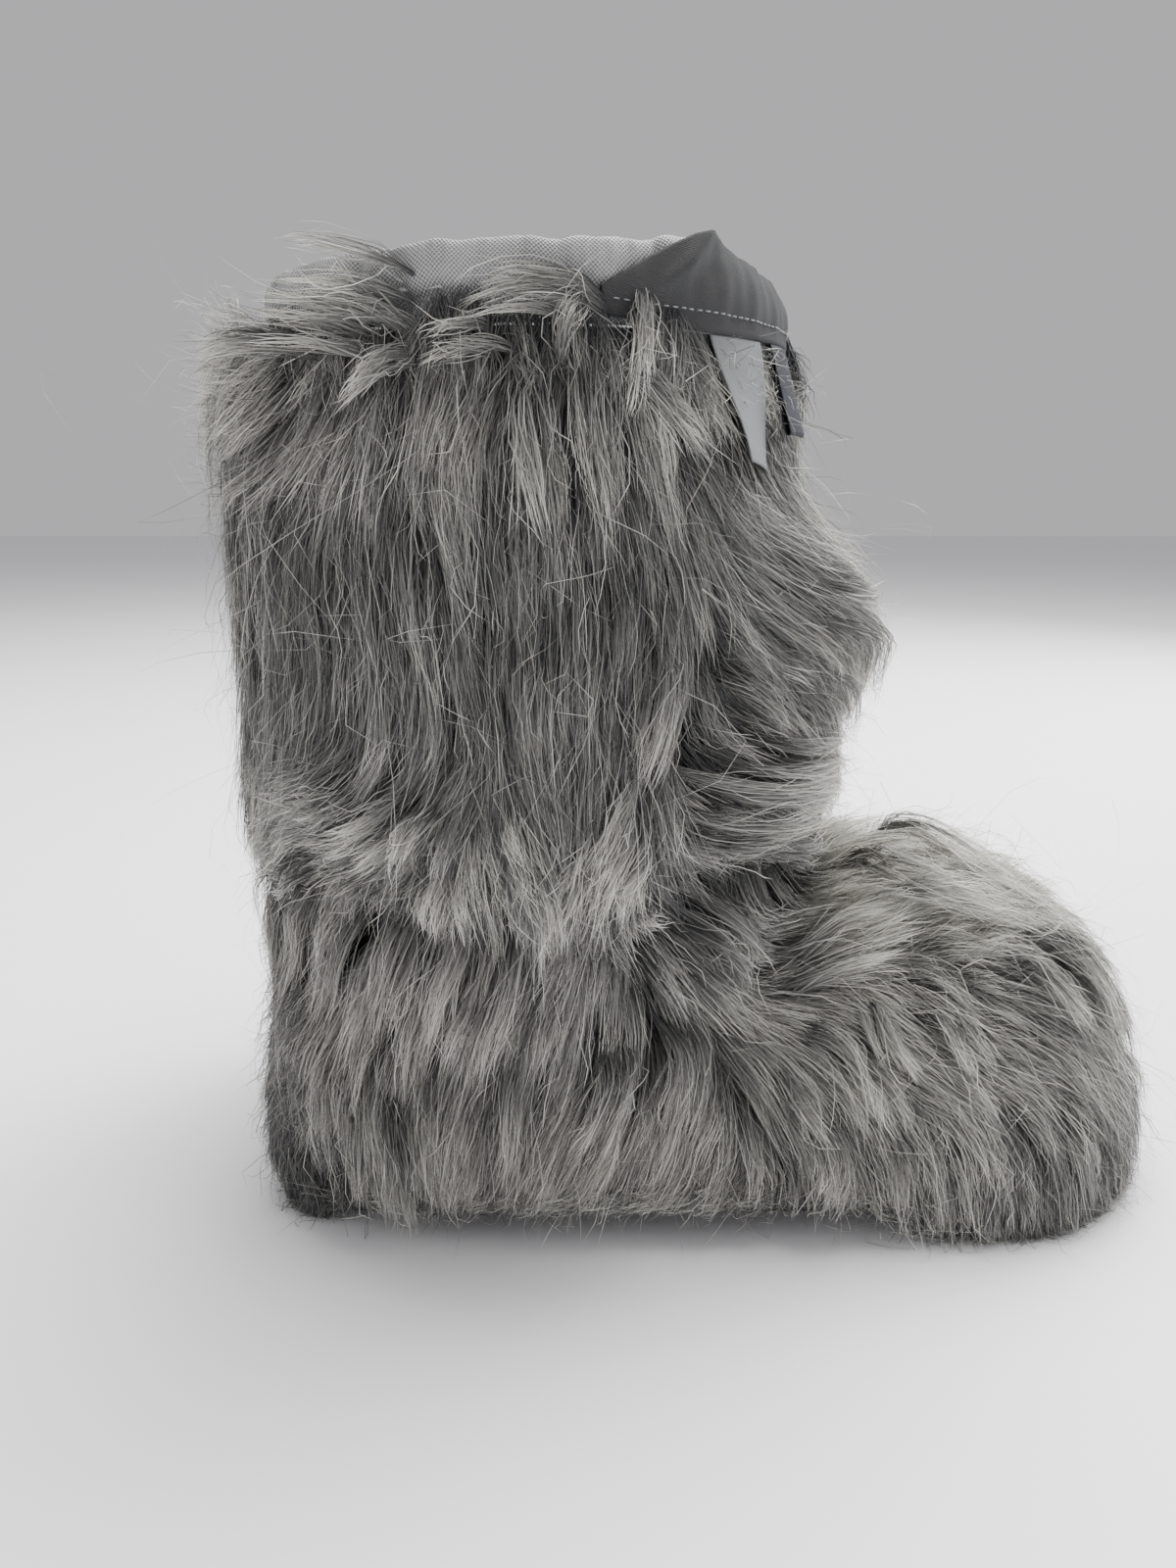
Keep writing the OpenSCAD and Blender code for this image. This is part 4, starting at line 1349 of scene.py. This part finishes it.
def make_sole():
    outline, middle = sole_outline(22.0, 180)
    low, high = box_mm("sole_panel")
    shares = np.concatenate([np.linspace(0.02, 0.94, 24), [0.97, 0.99, 1.0]])
    rim = np.sqrt(np.clip(1.0 - ((shares - 0.94) / 0.06).clip(0.0, 1.0) ** 2, 0.0, 1.0))
    layers = []
    for face, order in ((low[2] + 0.3, slice(None)), (high[2], slice(None, None, -1))):
        mid_z = 0.5 * (low[2] + 0.3 + high[2])
        points = middle + (outline - middle)[None] * shares[:, None, None]
        quilt = 0.35 * np.cos(points[..., 0] / 7.0) * np.cos(points[..., 1] / 7.0)
        points[..., 2] = mid_z + (face - mid_z) * rim[:, None] + (quilt * rim[:, None] * (face < mid_z))
        points[..., 2] = np.maximum(points[..., 2], 0.1)
        layers.append(points[order])
    points = np.concatenate(layers)
    uv = points[..., :2].copy()
    panel = cloth_object("sole_panel_cloth", points, uv, around=True)
    dress(panel, woven_material("sole_fabric", (0.020, 0.021, 0.024), (0.075, 0.077, 0.082), 0.8, 0.8),
          "sole_panel", slot="sole_fabric")
    outline, middle = sole_outline(19.9, 220)
    section = [(1.9 * math.cos(a), 2.7 * math.sin(a)) for a in np.linspace(0.0, 2.0 * math.pi, 17)]
    out = unit(outline - middle)
    rows = []
    for across, up in section:
        row = outline + out * across
        row[:, 2] = 3.4 + up
        rows.append(row)
    points = np.array(rows)
    binding = cloth_object("sole_binding_tape", points, np.stack([
        np.broadcast_to(run_lengths(points, 1)[0][None], points.shape[:2]),
        run_lengths(points, 0)], axis=2), around=True)
    dress(binding, woven_material("sole_tape", (0.030, 0.031, 0.034), (0.10, 0.10, 0.105), 0.6, 0.7),
          "sole_binding", slot="binding")
    seam = points[12] + np.array([0.0, 0.0, -0.1])
    stitches = stitch_rows("sole_stitches", [np.concatenate([seam, seam[:1]])], 2.6, 1.2, 0.3,
                           thread_material("sole_thread"))


def foam_material():
    """Open-cell foam: a fine speckle of dark cells."""
    n = Nodes("liner_foam")
    cells = n.add("ShaderNodeTexVoronoi", {"Vector": n.place(), "Scale": 1300.0})
    colour = n.ramp(cells.outputs["Distance"], [
        (0.0, (0.025, 0.026, 0.028)),
        (0.5, (0.085, 0.087, 0.09)),
    ])
    bump = n.add("ShaderNodeBump", {
        "Height": cells.outputs["Distance"], "Strength": 0.6, "Distance": 0.0004})
    n.put(n.shader.inputs["Normal"], bump.outputs["Normal"])
    return n.finish(Base_Color=colour, Roughness=0.95)


def thread_material(name="cuff_thread"):
    """Twisted sewing thread."""
    n = Nodes(name)
    twist = n.add("ShaderNodeTexNoise", {"Vector": n.place(), "Scale": 2600.0, "Detail": 2.0})
    colour = n.ramp(twist.outputs["Fac"], [(0.3, (0.16, 0.165, 0.17)), (0.7, (0.36, 0.37, 0.37))])
    return n.finish(Base_Color=colour, Roughness=0.6)


def finish_inner_pieces():
    """Materials for the CAD pieces that stay: foam, tapes and the cuff's binding."""
    foam = foam_material()
    tape = cloth_material("seam_tape", (0.05, 0.05, 0.05), (0.12, 0.12, 0.12), 1800.0)
    binding = cloth_material("cuff_binding_tape", (0.05, 0.052, 0.056), (0.14, 0.144, 0.15), 1600.0)
    foams = ["insole_foam", "foot_foam_left", "foot_foam_right", "toe_foam",
             "shaft_foam_left", "shaft_foam_right"]
    tapes = ["ankle_tape", "heel_tape", "vamp_tape", "toe_tape", "shaft_front_tape",
             "shaft_back_tape"]
    for names, material in ((foams, foam), (tapes, tape), (["cuff_binding"], binding)):
        for name in names:
            node = bpy.data.objects[name]
            node.data.materials.clear()
            node.data.materials.append(material)


make_camera()
make_stage()
BAND_CLOTH = woven_material("cuff_nylon", (0.05, 0.051, 0.051), (0.53, 0.535, 0.53), 0.62, 0.42)
# Painted shade: the lap's nylon, the same cloth as the band, is coloured much darker than the band's,
# for the shade that the lap lies in.
SHADED_LAP_CLOTH = woven_material("lap_nylon", (0.044, 0.045, 0.046), (0.078, 0.079, 0.080), 0.34, 0.8, 0.06)
make_cuff()
make_tabs()
make_lining()
make_sole()
finish_inner_pieces()
make_backing(make_fur())
